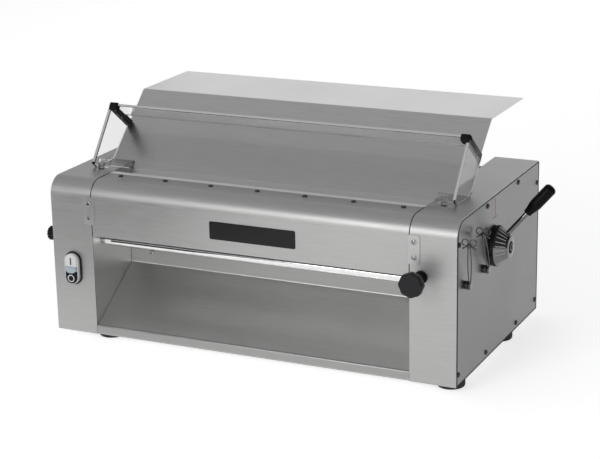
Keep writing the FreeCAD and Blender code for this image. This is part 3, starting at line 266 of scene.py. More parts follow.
front_steel = brushed_steel("front_steel", 0, 0.48, 0.36, 0.7)
# Painted shade: the side panels take a dark copy of the casing's stainless, 0.22 against the front's 0.48.
shaded_side_steel = brushed_steel("shaded_side_steel", 1, 0.22, 0.3)
tray_steel = brushed_steel("tray_steel", 0, 0.68, 0.28)
chute_steel = brushed_steel("chute_steel", 0, 0.66, 0.34)
tree = chute_steel.node_tree
shader = tree.nodes["Principled BSDF"]
sheet_colour = shader.inputs["Base Color"].links[0].from_socket
place = object_place(tree)
sheet_height = add_node(tree, "ShaderNodeSeparateXYZ", {0: place}).outputs["Z"]
# Painted shade: outside the slope's band of height the chute's colour is taken down to 0.55 of itself.
lip_top, slope_top, lip_plate_shade = 0.0285, 0.1035, 0.55
slope_band = {0: sheet_height, 1: (lip_top + slope_top) / 2, 2: (slope_top - lip_top) / 2}
slope_mask = add_node(tree, "ShaderNodeMath", slope_band, operation="COMPARE").outputs[0]
shares = {"Value": slope_mask, "To Min": lip_plate_shade, "To Max": 1.0}
painted_shade_factor = add_node(tree, "ShaderNodeMapRange", shares).outputs[0]
shaded_sheet_colour = add_node(tree, "ShaderNodeVectorMath", {0: sheet_colour, 1: painted_shade_factor}, operation="MULTIPLY")
tree.links.new(shaded_sheet_colour.outputs[0], shader.inputs["Base Color"])
# Painted light: the inner walls take a light copy of the stainless, 0.9, that brightens the mouth.
lit_inner_steel = brushed_steel("lit_inner_steel", 1, 0.9, 0.34)
dress(front_steel, "right_wrap", "left_wrap", "front_cover", "back_panel", "base_plate")
dress(shaded_side_steel, "right_side_panel", "left_side_panel")
dress(lit_inner_steel, "right_inner_wall", "left_inner_wall")
dress(tray_steel, "feed_tray")
dress(chute_steel, "discharge_chute")


# Feet: four black rubber pads with a rounded tread, each held by a screw through the base plate.
# Their rubber is dull and a little uneven.
def moulded(name, colour, rough, speckle=900.0, uneven=0.12, relief=0.15, **sockets):
    """Plastic, rubber or paint: two noises vary the colour and gloss, the fine one also the relief."""
    material, tree, shader = new_material(name, **sockets)
    place = object_place(tree)
    grain = noise(tree, place, speckle)
    colour = np.array(colour)
    tint(tree, grain, colour * (1 - uneven), np.minimum(1, colour * (1 + uneven)))
    gloss = dulled(tree, noise(tree, place, 40.0), 0.85 * rough, min(1.0, 1.15 * rough))
    tree.links.new(gloss, shader.inputs["Roughness"])
    bumps = add_node(tree, "ShaderNodeBump", {"Height": grain, "Strength": relief, "Distance": 0.0002})
    tree.links.new(bumps.outputs[0], shader.inputs["Normal"])
    return material


def round_outline(radius, steps=64):
    """A circle as rows of place and outward normal: (r cos t, r sin t, cos t, sin t)."""
    turn = np.arange(steps) * 2 * math.pi / steps
    out = np.column_stack([np.cos(turn), np.sin(turn)])
    return np.hstack([out * radius, out])


def with_rounds(height, low_round, high_round, steps=6):
    """Levels (inset, height) of a straight side that ends in quarter circles: r - r cos a, r sin a."""
    turn = np.linspace(0, math.pi / 2, steps)
    high = np.column_stack([high_round * (1 - np.cos(turn)), height - high_round * (1 - np.sin(turn))])
    low = np.column_stack([low_round * (1 - np.cos(turn)), low_round * (1 - np.sin(turn))])[::-1]
    return np.vstack([low, high])


def skin(rows, count, loop=False):
    """Faces over rows of points, each row a ring: quads from row to row and a cap on either end.

    With loop, the last row joins the first and there are no caps.
    """
    ring = np.arange(count)
    after = (ring + 1) % count
    row = np.arange(rows if loop else rows - 1)[:, None] * count
    upper = (row + count) % (rows * count)
    quads = np.stack([row + ring, row + after, upper + after, upper + ring], axis=-1)
    caps = [] if loop else [ring.tolist(), (ring + (rows - 1) * count).tolist()]
    return quads.reshape(-1, 4).tolist() + caps


def stacked(name, outline, levels, place, along, across, loop=False):
    """A closed piece: one outline, drawn in by each level's inset, at each level's height along an axis.

    point[i, j] = place + along * height[i] + across * (u[j] - nu[j] * inset[i])
    + third * (v[j] - nv[j] * inset[i]), where u, v is the outline, or each level's own, and nu, nv its
    outward normal; with loop, the last level joins the first.
    """
    along, across = np.asarray(along, float), np.asarray(across, float)
    inset, height = np.asarray(levels, float).T
    flat = outline[..., :2] - outline[..., 2:] * inset[:, None, None]
    third = np.cross(along, across)
    points = np.asarray(place) + height[:, None, None] * along
    points = points + flat[..., :1] * across + flat[..., 1:] * third
    return make_object(name, points.reshape(-1, 3), skin(*flat.shape[:2], loop))


def mount(piece, material, body, slot, *replaced):
    """Finishes a piece: its material, its body and the nodes it stands for; the slot is not used."""
    piece.data.materials.append(material)
    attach(piece, body)
    if replaced:
        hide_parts(*replaced)


right, back, up = np.eye(3)


def middle(node):
    """The middle of a node's box."""
    return np.mean(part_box(node), axis=0)


def seat(node, axis, level):
    """The middle of a node's box, moved to a level along one axis."""
    place = middle(node)
    place[axis] = level
    return place


rubber = moulded("rubber", (0.022, 0.022, 0.023), 0.75, speckle=600.0, relief=0.3)
feet_low, feet_high = np.array(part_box("feet"))
foot_radius = 0.022
foot_levels = with_rounds(feet_high[2] - feet_low[2], 0.003, 0.0015)
for side, foot_x in (("left", feet_low[0] + foot_radius), ("right", feet_high[0] - foot_radius)):
    for end, foot_y in (("front", feet_low[1] + foot_radius), ("rear", feet_high[1] - foot_radius)):
        foot_place = (foot_x, foot_y, feet_low[2])
        foot = stacked(f"{side}_{end}_foot", round_outline(foot_radius), foot_levels, foot_place, up, right)
        mount(foot, rubber, "frame", "foot_rubber", "feet")


# Screws: pan heads of stainless steel with a cross recess, each where its solid stands. Those on the
# brackets and the chute's upper plate face the front and take a light copy of the steel; those on the side
# panels, on the cover's top strip and over the feet take a dark copy: painted light and shade by facing.
def turned_steel(name, shade, rough, marks=1500.0):
    """Turned or drawn steel: a coarse noise varies the shade, a fine one the gloss."""
    material, tree, shader = new_material(name, Metallic=1.0)
    place = object_place(tree)
    steel = shade * np.array([1, 1, 0.99])
    tint(tree, noise(tree, place, 60.0), 0.92 * steel, 1.06 * steel)
    gloss = dulled(tree, noise(tree, place, marks), 0.7 * rough, 1.3 * rough)
    tree.links.new(gloss, shader.inputs["Roughness"])
    return material


def joined(name, shapes):
    """One mesh object from several pairs of points and faces."""
    starts = np.cumsum([0] + [len(points) for points, faces in shapes])
    faces = []
    for (_, group), start in zip(shapes, starts):
        faces += [[corner + start for corner in face] for face in group]
    return make_object(name, np.vstack([points for points, _ in shapes]), faces)


def screw_heads(name, seats, outs, acrosses, radius, height):
    """Pan heads with a cross recess, all in one mesh.

    On each head, at radius r and turn t, the surface stands at
    height * sqrt(1 - 0.55 * (r / radius)**4) - depth * cross(r, t), and it ends in a straight side.
    """
    sides = 48
    ring = np.concatenate([np.linspace(0.02, 0.99, 14), [1.0, 1.0]]) * radius
    turn = np.arange(sides) * 2 * math.pi / sides
    u = ring[:, None] * np.cos(turn)
    v = ring[:, None] * np.sin(turn)
    dome = height * np.sqrt(1 - 0.55 * (ring / radius) ** 4)
    dome[-1] = 0
    slot_half, slot_reach, depth = 0.17 * radius, 0.6 * radius, 0.8 * height
    in_slot = np.minimum(np.abs(u), np.abs(v)) < slot_half
    in_reach = np.hypot(u, v) < slot_reach
    lift = dome[:, None] - depth * (in_slot & in_reach)
    thirds = np.cross(outs, acrosses)
    points = (
        seats[:, None, None]
        + lift[..., None] * outs[:, None, None]
        + u[..., None] * acrosses[:, None, None]
        + v[..., None] * thirds[:, None, None]
    )
    faces = skin(*u.shape)
    return joined(name, [(head.reshape(-1, 3), faces) for head in points])


screw_steel = turned_steel("screw_steel", 0.1, 0.35)
screw_radius, screw_height = 0.004, 0.0022
screw_mesh = nodes["casing_screws"].data
screw_points = np.empty(3 * len(screw_mesh.vertices))
screw_mesh.vertices.foreach_get("co", screw_points)
screw_count = 33
screw_boxes = screw_points.reshape(screw_count, -1, 3)
screw_low, screw_high = screw_boxes.min(axis=1), screw_boxes.max(axis=1)
screw_axis = np.argmax(np.abs(screw_high - screw_low - 2 * screw_radius), axis=1)
screw_middle = (screw_low + screw_high) / 2
outward_sign = np.tile([1.0, -1.0, 1.0], (screw_count, 1))
outward_sign[:, 0] = np.sign(screw_middle[:, 0] - middle_x)
screw_outs = np.eye(3)[screw_axis] * outward_sign
screw_ends = np.where(screw_outs > 0, screw_high, np.where(screw_outs < 0, screw_low, screw_middle))
slant_step = 0.7
screw_slant = np.arange(screw_count)[:, None] * slant_step
screw_level = np.eye(3)[(screw_axis + 1) % 3]
screw_across = np.cos(screw_slant) * screw_level + np.sin(screw_slant) * np.cross(screw_outs, screw_level)
bright_steel = turned_steel("bright_steel", 0.4, 0.22)
# Painted light and shade: heads that face the front get the light copy, all others the dark one.
on_front = screw_axis == 1
for name, chosen, material in (
    ("front_screws", on_front, bright_steel),
    ("panel_screws", ~on_front, screw_steel),
):
    seats = (screw_ends - screw_outs * screw_height)[chosen]
    heads = screw_heads(name, seats, screw_outs[chosen], screw_across[chosen], screw_radius, screw_height)
    mount(heads, material, "frame", "screw_steel", "casing_screws")


# Panel gaps: a strip of the black rubber fills the gap round each side panel, laps its edge a little
# and its front edge more, and stands just proud of it: painted shade for the dark gap, widest at the front.
def rounded_outline(width, height, radii, steps=8):
    """A rectangle with round corners as rows of place and outward normal, anticlockwise from the right.

    Corner k: (side_u * (width / 2 - r) + r cos t, side_v * (height / 2 - r) + r sin t, cos t, sin t),
    with t from k to k + 1 quarter turns.
    """
    turn = np.linspace(0, math.pi / 2, steps + 1) + np.arange(4)[:, None] * math.pi / 2
    radius = np.broadcast_to(np.asarray(radii, float), 4)[:, None]
    side_u = np.array([1, -1, -1, 1])[:, None]
    side_v = np.array([1, 1, -1, -1])[:, None]
    u = side_u * (width / 2 - radius) + radius * np.cos(turn)
    v = side_v * (height / 2 - radius) + radius * np.sin(turn)
    return np.column_stack([u.ravel(), v.ravel(), np.cos(turn).ravel(), np.sin(turn).ravel()])


# Painted shade: the black strip stands for the dark gap round each side panel.
panel_gap, shade_proud, front_lap, edge_lap = 0.0009, 0.0003, 0.003, 0.0008
front_round, back_round, low_round = 0.0255, 0.0035, 0.002
for side, out in (("left", -right), ("right", right)):
    panel_low, panel_high = np.array(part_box(f"{side}_side_panel"))
    panel_gauge, panel_depth, panel_height = panel_high - panel_low
    corners = np.array([back_round, front_round, low_round, low_round])
    outside = rounded_outline(panel_depth + 2 * panel_gap, panel_height + 2 * panel_gap, corners + panel_gap)
    inside_depth, inside_height = panel_depth - front_lap - edge_lap, panel_height - 2 * edge_lap
    inside = rounded_outline(inside_depth, inside_height, corners - edge_lap)
    inside[:, 0] += (front_lap - edge_lap) / 2
    edge = rounded_outline(panel_depth, panel_height, corners)
    gap_shade = stacked(
        f"{side}_panel_gap_shade",
        np.array([outside, outside, inside, inside, edge, edge]) * (1, out[0], 1, out[0]),
        [(0, 0)] + [(0, panel_gauge + shade_proud)] * 2 + [(0, panel_gauge)] * 2 + [(0, 0)],
        middle(f"{side}_side_panel") - out * panel_gauge / 2,
        out,
        back,
        loop=True,
    )
    mount(gap_shade, rubber, "frame", "foot_rubber")

# Cover fittings: two steel brackets with rounded corners, each screwed over one end of the cover, the
# rail under its top strip, and a bare plate of black plastic on its front. Two tie bars of the rail's
# steel join the walls further back.
bracket_steel = brushed_steel("bracket_steel", 2, 0.5, 0.34, 0.75)
brackets_low, brackets_high = np.array(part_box("cover_brackets"))
bracket_width, bracket_corner = 0.019, 0.003
_, bracket_gauge, bracket_height = brackets_high - brackets_low
for side, bracket_x in (
    ("left", brackets_low[0] + bracket_width / 2),
    ("right", brackets_high[0] - bracket_width / 2),
):
    bracket = stacked(
        f"{side}_bracket",
        rounded_outline(bracket_width, bracket_height, bracket_corner),
        with_rounds(bracket_gauge, 0.0001, 0.0004),
        (bracket_x, brackets_high[1], middle("cover_brackets")[2]),
        -back,
        right,
    )
    mount(bracket, bracket_steel, "frame", "bracket_steel", "cover_brackets")
bar_steel = turned_steel("bar_steel", 0.42, 0.32)
dress(bar_steel, "cover_rail", "tie_bars")
satin = {"speckle": 300.0, "relief": 0.02, "Specular_IOR_Level": 0.25}
plate_black = moulded("plate_black", (0.012, 0.012, 0.013), 0.42, **satin)
plate_low, plate_high = np.array(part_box("name_plate"))
plate_width, plate_gauge, plate_height = plate_high - plate_low
plate_corner = 0.0025
plate = stacked(
    "plain_plate",
    rounded_outline(plate_width, plate_height, plate_corner),
    with_rounds(plate_gauge, 0.0001, 0.0005),
    seat("name_plate", 1, plate_high[1]),
    -back,
    right,
)
mount(plate, plate_black, "frame", "plate_black", "name_plate")

# Guard: a leaning sheet of clear acrylic with a wing at each end, hinged on two small clear lugs.
# A black moulded bar runs along the top of each wing, with a rounded head on the panel's corner,
# and a clear flange lies between the bars. The sheet's cut edges are polished; thin pale grey strips on
# them are a painted highlight for their bright edges.
acrylic = {"Base_Color": (0.93, 0.93, 0.93, 1), "IOR": 1.2, "Transmission_Weight": 1.0}
clear, tree, shader = new_material("clear_acrylic", **acrylic)
place = object_place(tree)
wear = noise(tree, place, 25.0, 3.0)
haze_range = {"Value": wear, "From Min": 0.5, "From Max": 0.8, "To Min": 0.0, "To Max": 0.03}
haze = add_node(tree, "ShaderNodeMapRange", haze_range).outputs[0]
tree.links.new(haze, shader.inputs["Roughness"])
dress(clear, "guard_panel")
thin_clear = clear.copy()
thin_clear.name = "lug_acrylic"
thin_clear.node_tree.nodes["Principled BSDF"].inputs["IOR"].default_value = 1.15
dress(thin_clear, "guard_hinges", "guard_lugs")
grained = {"speckle": 1400.0, "relief": 0.2, "Specular_IOR_Level": 0.16}
black_plastic = moulded("black_plastic", (0.006, 0.006, 0.0065), 0.42, **grained)
joints = {joint["name"]: joint for joint in frame["record"]["behaviour"]["joints"]}
hinge_place = np.array(joints["guard_hinge"]["pos_m"])
guard_lean = math.radians(38)
arm_way = np.array([0, math.cos(guard_lean), -math.sin(guard_lean)])
guard_up = np.array([0, math.sin(guard_lean), math.cos(guard_lean)])
bars_low, bars_high = np.array(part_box("guard_bars"))
head_width, head_depth, head_height, head_top, head_proud = 0.016, 0.012, 0.014, 0.112, 0.005
arm_width, arm_gauge, arm_reach = 0.011, 0.0115, 0.0655
bar_line = hinge_place + guard_up * (head_top - head_height / 2)
# Painted highlight: opaque pale grey strips on the guard's cut edges stand for their bright glint.
painted_edge_highlight = moulded("painted_edge_highlight", (0.6, 0.61, 0.62), 0.2, relief=0.02)
guard_gauge, corner_width, corner_gauge, corner_start = 0.004, 0.0046, 0.0006, 0.003
for side, edge_x, inward in (("right", bars_high[0], -1), ("left", bars_low[0], 1)):
    head_middle = np.array([edge_x + inward * head_width / 2, bar_line[1], bar_line[2]])
    head = stacked(
        f"{side}_bar_head",
        rounded_outline(head_width, head_height, (0.002, 0.002, 0.006, 0.006)),
        with_rounds(head_depth, 0.001, 0.003),
        head_middle + arm_way * (head_depth - head_proud),
        -arm_way,
        right,
    )
    mount(head, black_plastic, "guard", "black_plastic", "guard_bars")
    corner_x = edge_x + inward * corner_width / 2
    corner = stacked(
        f"{side}_guard_corner",
        rounded_outline(corner_width, corner_gauge, corner_gauge / 3, steps=3),
        [(0, corner_start), (0, head_top - head_height)],
        np.array([corner_x, hinge_place[1], hinge_place[2]]) - arm_way * (guard_gauge + corner_gauge) / 2,
        guard_up,
        right,
    )
    mount(corner, painted_edge_highlight, "guard", "clear_guard")
    arm_middle = np.array([edge_x + inward * arm_width / 2, bar_line[1], bar_line[2]])
    arm = stacked(
        f"{side}_bar_arm",
        rounded_outline(arm_width, arm_gauge, 0.0018),
        with_rounds(arm_reach, 0.0005, 0.0005),
        arm_middle,
        arm_way,
        right,
    )
    mount(arm, black_plastic, "guard", "black_plastic", "guard_bars")
bars_middle = np.array([(bars_low[0] + bars_high[0]) / 2, hinge_place[1], hinge_place[2]])
flange_width = bars_high[0] - bars_low[0] - 2 * arm_width
flange_gauge, flange_round, flange_reach, flange_rise, edge_sink = 0.003, 0.0004, 0.036, 0.1085, 0.0001
for name, material, start, stop in (
    ("guard_flange", thin_clear, guard_gauge / 2, flange_reach),
    ("flange_edge", painted_edge_highlight, flange_reach - edge_sink, flange_reach + corner_gauge),
):
    flange = stacked(
        name,
        rounded_outline(flange_width, flange_gauge, flange_round, steps=3),
        [(0, start), (0, stop)],
        bars_middle + guard_up * flange_rise,
        arm_way,
        right,
    )
    mount(flange, material, "guard", "clear_guard")
panel_drop, top_edge_width = 0.002, 0.0034
panel_top = head_top - panel_drop
panel_edge = stacked(
    "guard_top_edge",
    rounded_outline(bars_high[0] - bars_low[0] - 2 * head_width, corner_gauge, corner_gauge / 3, steps=3),
    [(0, panel_top - top_edge_width), (0, panel_top)],
    bars_middle - arm_way * (guard_gauge + corner_gauge) / 2,
    guard_up,
    right,
)
mount(panel_edge, painted_edge_highlight, "guard", "clear_guard")


# Adjusting hub: a chromed cone with a fluted black rim and printed dial lines turns on a thin black ring
# on the right panel, held by a screw in its recessed end. A chromed lever is set in the cone and carries
# a black grip.
def lobed_outline(radius, depth, lobes, steps=160):
    """A fluted circle: r = radius - depth * (1 - cos(lobes * t)) / 2, with its outward normal."""
    turn = np.arange(steps) * 2 * math.pi / steps
    reach = radius - depth * (1 - np.cos(lobes * turn)) / 2
    slope = -depth * lobes * np.sin(lobes * turn) / 2
    normal = np.column_stack([
        reach * np.cos(turn) + slope * np.sin(turn),
        reach * np.sin(turn) - slope * np.cos(turn),
    ])
    return np.column_stack([reach * np.cos(turn), reach * np.sin(turn), unit(normal)])


chrome = turned_steel("chrome", 0.14, 0.1, marks=700.0)
dark_chrome = turned_steel("dark_chrome", 0.16, 0.14, marks=500.0)
ring_low, ring_high = np.array(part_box("hub_ring"))
hub_low, hub_high = np.array(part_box("adjust_hub"))
hub_foot = seat("adjust_hub", 0, hub_low[0])
ring = stacked(
    "hub_ring_dress",
    round_outline((ring_high[1] - ring_low[1]) / 2),
    with_rounds(ring_high[0] - ring_low[0], 0.0001, 0.0006),
    seat("adjust_hub", 0, ring_low[0]),
    right,
    back,
)
mount(ring, black_plastic, "frame", "black_plastic", "hub_ring")
hub_radius, hub_end_radius, hub_length = 0.032, 0.017, hub_high[0] - hub_low[0]
recess_radius, recess_depth = 0.0095, 0.003
end_inset, recess_inset = hub_radius - hub_end_radius, hub_radius - recess_radius
hub_levels = [
    (0.0005, 0),
    (0, 0.0005),
    (0, 0.0036),
    (0.0004, 0.004),
    (0.0016, 0.0042),
    (0.0016, 0.005),
    (0.0008, 0.0054),
    (end_inset - 0.0005, hub_length - 0.0009),
    (end_inset, hub_length - 0.0002),
    (end_inset + 0.0007, hub_length),
    (recess_inset - 0.0005, hub_length),
    (recess_inset, hub_length - 0.0005),
    (recess_inset, hub_length - recess_depth),
]
hub = stacked("hub_cone", round_outline(hub_radius, 96), hub_levels, hub_foot, right, back)
mount(hub, dark_chrome, "lever", "polished_steel", "adjust_hub")
rim_proud, rim_length, flute_depth, flute_count = 0.0003, 0.0048, 0.0004, 60
rim = stacked(
    "hub_rim",
    lobed_outline(hub_radius + rim_proud, flute_depth, flute_count, steps=360),
    with_rounds(rim_length, 0.0003, 0.0008),
    hub_foot,
    right,
    back,
)
mount(rim, black_plastic, "lever", "black_plastic")
flank_start = np.array([0.0054, hub_radius - 0.0008])
flank_end = np.array([hub_length - 0.0009, hub_end_radius + 0.0005])
flank = unit(flank_end - flank_start)
line_width, line_length, line_gauge, line_count = 0.0012, 0.0165, 0.00012, 10
line_start, line_pitch = math.radians(60), math.radians(15)
line_middle = (flank_start + flank_end) / 2
white_ink = moulded("white_ink", (0.75, 0.75, 0.75), 0.4)
for count in range(line_count):
    line_turn = line_start + line_pitch * count
    out = math.cos(line_turn) * back + math.sin(line_turn) * up
    flank_way = right * flank[0] + out * flank[1]
    line = stacked(
        f"dial_line_{count}",
        rounded_outline(line_length, line_width, line_width / 3, steps=3),
        [(0, -line_gauge), (0, line_gauge)],
        hub_foot + right * line_middle[0] + out * line_middle[1],
        np.cross(flank_way, np.cross(right, out)),
        flank_way,
    )
    mount(line, white_ink, "lever", "polished_steel")
screw_dark = turned_steel("screw_dark", 0.12, 0.4)
hub_screw_radius = 0.006
screw_levels = [(0.0003, 0), (0, 0.0003), (0, 0.0036), (0.0006, 0.004), (0.0026, 0.004), (0.0028, 0.0022)]
hub_screw = stacked(
    "hub_socket_screw",
    round_outline(hub_screw_radius),
    screw_levels,
    seat("adjust_hub", 0, hub_high[0] - recess_depth),
    right,
    back,
)
mount(hub_screw, screw_dark, "lever", "screw_steel", "hub_screw")

lever_tilt, lever_turn = math.radians(39), math.radians(15.6)
lever_way = np.array([
    math.sin(lever_tilt),
    math.cos(lever_tilt) * math.sin(lever_turn),
    math.cos(lever_tilt) * math.cos(lever_turn),
])
lever_side = unit(np.cross(lever_way, right))
lever_radius, lever_foot, lever_length = 0.004, 0.01392, 0.077
lever_root = hub_foot + lever_way * lever_foot
lever = stacked(
    "lever_rod",
    round_outline(lever_radius),
    with_rounds(lever_length, 0.0004, 0.001),
    lever_root,
    lever_way,
    lever_side,
)
mount(lever, chrome, "lever", "polished_steel", "adjust_lever")
grip_length, grip_overlap, grip_radius, grip_neck = 0.057, 0.02, 0.0098, 0.0065
swell_end, grip_round = 0.021, 0.006
grip_height = np.linspace(0, grip_length - grip_round, 22)
swell = np.clip(grip_height / swell_end, 0, 1)
swell_inset = (grip_radius - grip_neck) * (1 - swell * swell * (3 - 2 * swell))
end_turn = np.linspace(0, math.radians(80), 10)[1:]
grip_levels = np.vstack([
    [(grip_radius - lever_radius, 0)],
    np.column_stack([swell_inset, grip_height]),
    np.column_stack([
        0.75 * grip_radius * (1 - np.cos(end_turn)),
        grip_length - grip_round + grip_round * np.sin(end_turn),
    ]),
])
grip = stacked(
    "grip",
    round_outline(grip_radius),
    grip_levels,
    lever_root + lever_way * (lever_length - grip_overlap),
    lever_way,
    lever_side,
)
grip_black = moulded("grip_black", (0.004, 0.004, 0.004), 0.3, relief=0.2, Specular_IOR_Level=0.08)
mount(grip, grip_black, "lever", "black_plastic", "lever_grip")

# Index mark: a thin film on the panel over the hub, of the panel's own grey, with one red line
# and short black strokes beside it for the lever's settings.
film_low, film_high = np.array(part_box("index_label"))
film_gauge, film_width, film_height = film_high - film_low
film = stacked(
    "index_film",
    rounded_outline(film_width, film_height, 0.002),
    [(0, 0), (0, film_gauge / 8)],
    seat("index_label", 0, film_low[0]),
    right,
    back,
)
mount(film, shaded_side_steel, "frame", "label_film", "index_label")
red_ink = moulded("red_ink", (0.55, 0.03, 0.03), 0.5)
black_ink = moulded("black_ink", (0.03, 0.03, 0.03), 0.5)
ink_gauge, red_width = film_gauge / 4, 0.0011
stroke_pitch, stroke_width, stroke_height, stroke_drop = 0.0045, 0.0006, 0.003, 0.4 * film_height
strokes = [("red_line", red_ink, 0, red_width, 0.9 * film_height, 0)]
for count in (0, 1, 3, 4):
    offset = (count - 2) * stroke_pitch
    strokes.append((f"stroke_{count}", black_ink, offset, stroke_width, stroke_height, -stroke_drop))
for name, ink, offset, width, height, lift in strokes:
    stroke = stacked(
        name,
        rounded_outline(width, height, width / 3, steps=3),
        [(0, 0), (0, ink_gauge)],
        seat("index_label", 0, film_low[0] + film_gauge / 8) + offset * back + lift * up,
        right,
        back,
    )
    mount(stroke, ink, "frame", "label_film")


# Scraper rods: drawn steel rods that run through both towers, with a chamfered nut and a rounded stud
# on each right end and a fluted black knob on the front rod's left end.
def rounded_polygon(sides, radius, rounding, steps=5):
    """A regular polygon with round corners, as rows of place and outward normal.

    Corner k: (radius - rounding / cos(pi / sides)) * (cos c, sin c) + rounding * (cos t, sin t),
    with c = 2 pi k / sides and t from c - pi / sides to c + pi / sides.
    """
    corner = np.arange(sides)[:, None] * 2 * math.pi / sides
    turn = corner + np.linspace(-1, 1, steps) * math.pi / sides
    reach = radius - rounding / math.cos(math.pi / sides)
    u = reach * np.cos(corner) + rounding * np.cos(turn)
    v = reach * np.sin(corner) + rounding * np.sin(turn)
    return np.column_stack([u.ravel(), v.ravel(), np.cos(turn).ravel(), np.sin(turn).ravel()])


dress(bright_steel, "front_scraper_rod", "rear_scraper_rod")
nut_radius, nut_round, nut_chamfer, chamfer_length = 0.007, 0.0008, 0.0008, 0.0006
stud_radius, stud_length = 0.00505, 0.0032
for end in ("front", "rear"):
    nut_low, nut_high = np.array(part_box(f"{end}_rod_nut"))
    nut_length = nut_high[0] - nut_low[0]
    nut_levels = [
        (nut_chamfer, 0),
        (0, chamfer_length),
        (0, nut_length - chamfer_length),
        (nut_chamfer, nut_length),
    ]
    nut = stacked(
        f"{end}_nut",
        rounded_polygon(6, nut_radius, nut_round),
        nut_levels,
        seat(f"{end}_rod_nut", 0, nut_low[0]),
        right,
        up,
    )
    mount(nut, screw_dark, "frame", "screw_steel", f"{end}_rod_nut")
    stud_end = stacked(
        f"{end}_rod_end",
        round_outline(stud_radius),
        with_rounds(stud_length, 0.0002, 0.0012),
        seat(f"{end}_rod_nut", 0, nut_high[0]),
        right,
        up,
    )
    mount(stud_end, dark_chrome, "frame", "polished_steel")
knob_low, knob_high = np.array(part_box("rod_knob"))
knob_flute, knob_flutes = 0.0014, 12
rod_knob = stacked(
    "fluted_rod_knob",
    lobed_outline((knob_high[1] - knob_low[1]) / 2, knob_flute, knob_flutes),
    with_rounds(knob_high[0] - knob_low[0], 0.001, 0.0035),
    seat("rod_knob", 0, knob_high[0]),
    -right,
    back,
)
mount(rod_knob, black_plastic, "frame", "black_plastic", "rod_knob")


# Wire clips: spring wire with a ring round each rod's end, two legs up to a wound collar,
# a bow of two loops and two tails that end in small balls.
def tube(path, radius, side, loop=False, sides=12):
    """Round wire along a path: p[i] + radius[i] * (cos a * n[i] + sin a * b[i]).

    n = side x tangent, made a unit, and b = tangent x n.
    """
    path = np.asarray(path, float)
    tangent = unit(np.roll(path, -1, 0) - np.roll(path, 1, 0) if loop else np.gradient(path, axis=0))
    normal = unit(np.cross(side, tangent))
    other = np.cross(tangent, normal)
    turn = np.arange(sides) * 2 * math.pi / sides
    reach = np.broadcast_to(radius, len(path))[:, None, None]
    spokes = np.cos(turn)[:, None] * normal[:, None] + np.sin(turn)[:, None] * other[:, None]
    points = (path[:, None] + reach * spokes).reshape(-1, 3)
    return points, skin(len(path), sides, loop)


clip_wire = turned_steel("clip_wire", 0.1, 0.22, marks=600.0)
wire_radius, rod_radius, clip_clear = 0.0009, 0.005, 0.0003
clip_rise, clip_stand_off, clip_tail = 0.07, 0.015, 0.008
loop_radius, loop_out, leg_spread, leg_bow = 0.005, 0.0062, 0.0013, 0.004
ball_radius, collar_radius, collar_turns, foot_turn = 0.0015, 0.0021, 4, math.radians(35)
panel_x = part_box("right_side_panel")[1][0]
whole_turn = np.linspace(0, 2 * math.pi, 40, endpoint=False)[:, None]
for end, clip_lean in (("front", 0.026), ("rear", 0.047)):
    nut_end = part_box(f"{end}_rod_nut")[1][0]
    ring_middle = seat(f"{end}_rod_nut", 0, nut_end + clip_clear + wire_radius)
    ring_radius = rod_radius + clip_clear + wire_radius
    collar = seat(f"{end}_rod_nut", 0, panel_x + clip_stand_off) - clip_lean * back + clip_rise * up
    ring_path = ring_middle + ring_radius * (np.cos(whole_turn) * back + np.sin(whole_turn) * up)
    shapes = [tube(ring_path, wire_radius, right, loop=True)]
    leg_ends = []
    for way in (-1, 1):
        foot = ring_middle + ring_radius * (way * math.sin(foot_turn) * back + math.cos(foot_turn) * up)
        leg_top = collar + way * leg_spread * right
        along_leg = np.linspace(0, 1, 12)[:, None]
        bow = leg_bow * way * np.sin(math.pi * along_leg) * back
        shapes.append(tube(foot + along_leg * (leg_top - foot) + bow, wire_radius, right + 0.2 * back))
        loop_middle = collar + way * loop_out * right + loop_radius * up
        loop_path = loop_middle + loop_radius * (np.cos(whole_turn) * right + np.sin(whole_turn) * up)
        shapes.append(tube(loop_path, wire_radius, back, loop=True))
        tail_way = way * clip_tail * right - clip_tail / 2 * up
        tail_path = leg_top + np.linspace(0, 1, 14)[:, None] * tail_way
        shapes.append(tube(tail_path, wire_radius, back))
        ball_turn = np.linspace(-0.97, 0.97, 11)
        ball_path = leg_top + tail_way + ball_turn[:, None] * ball_radius * unit(tail_way)
        shapes.append(tube(ball_path, ball_radius * np.sqrt(1 - ball_turn**2), back, sides=16))
        leg_ends.append(foot - leg_top)
    leg_way = -unit(leg_ends[0] + leg_ends[1])
    wind = np.linspace(-1, 1, 24 * collar_turns)[:, None]
    wind_turn = wind * math.pi * collar_turns
    collar_side = np.cross(leg_way, right)
    collar_axis = collar + wind * collar_turns * wire_radius * leg_way
    collar_out = np.cos(wind_turn) * right + np.sin(wind_turn) * collar_side
    shapes.append(tube(collar_axis + collar_radius * collar_out, wire_radius, leg_way))
    clip = joined(f"{end}_wire_clip", shapes)
    mount(clip, clip_wire, "frame", "clip_wire", "rod_clips")

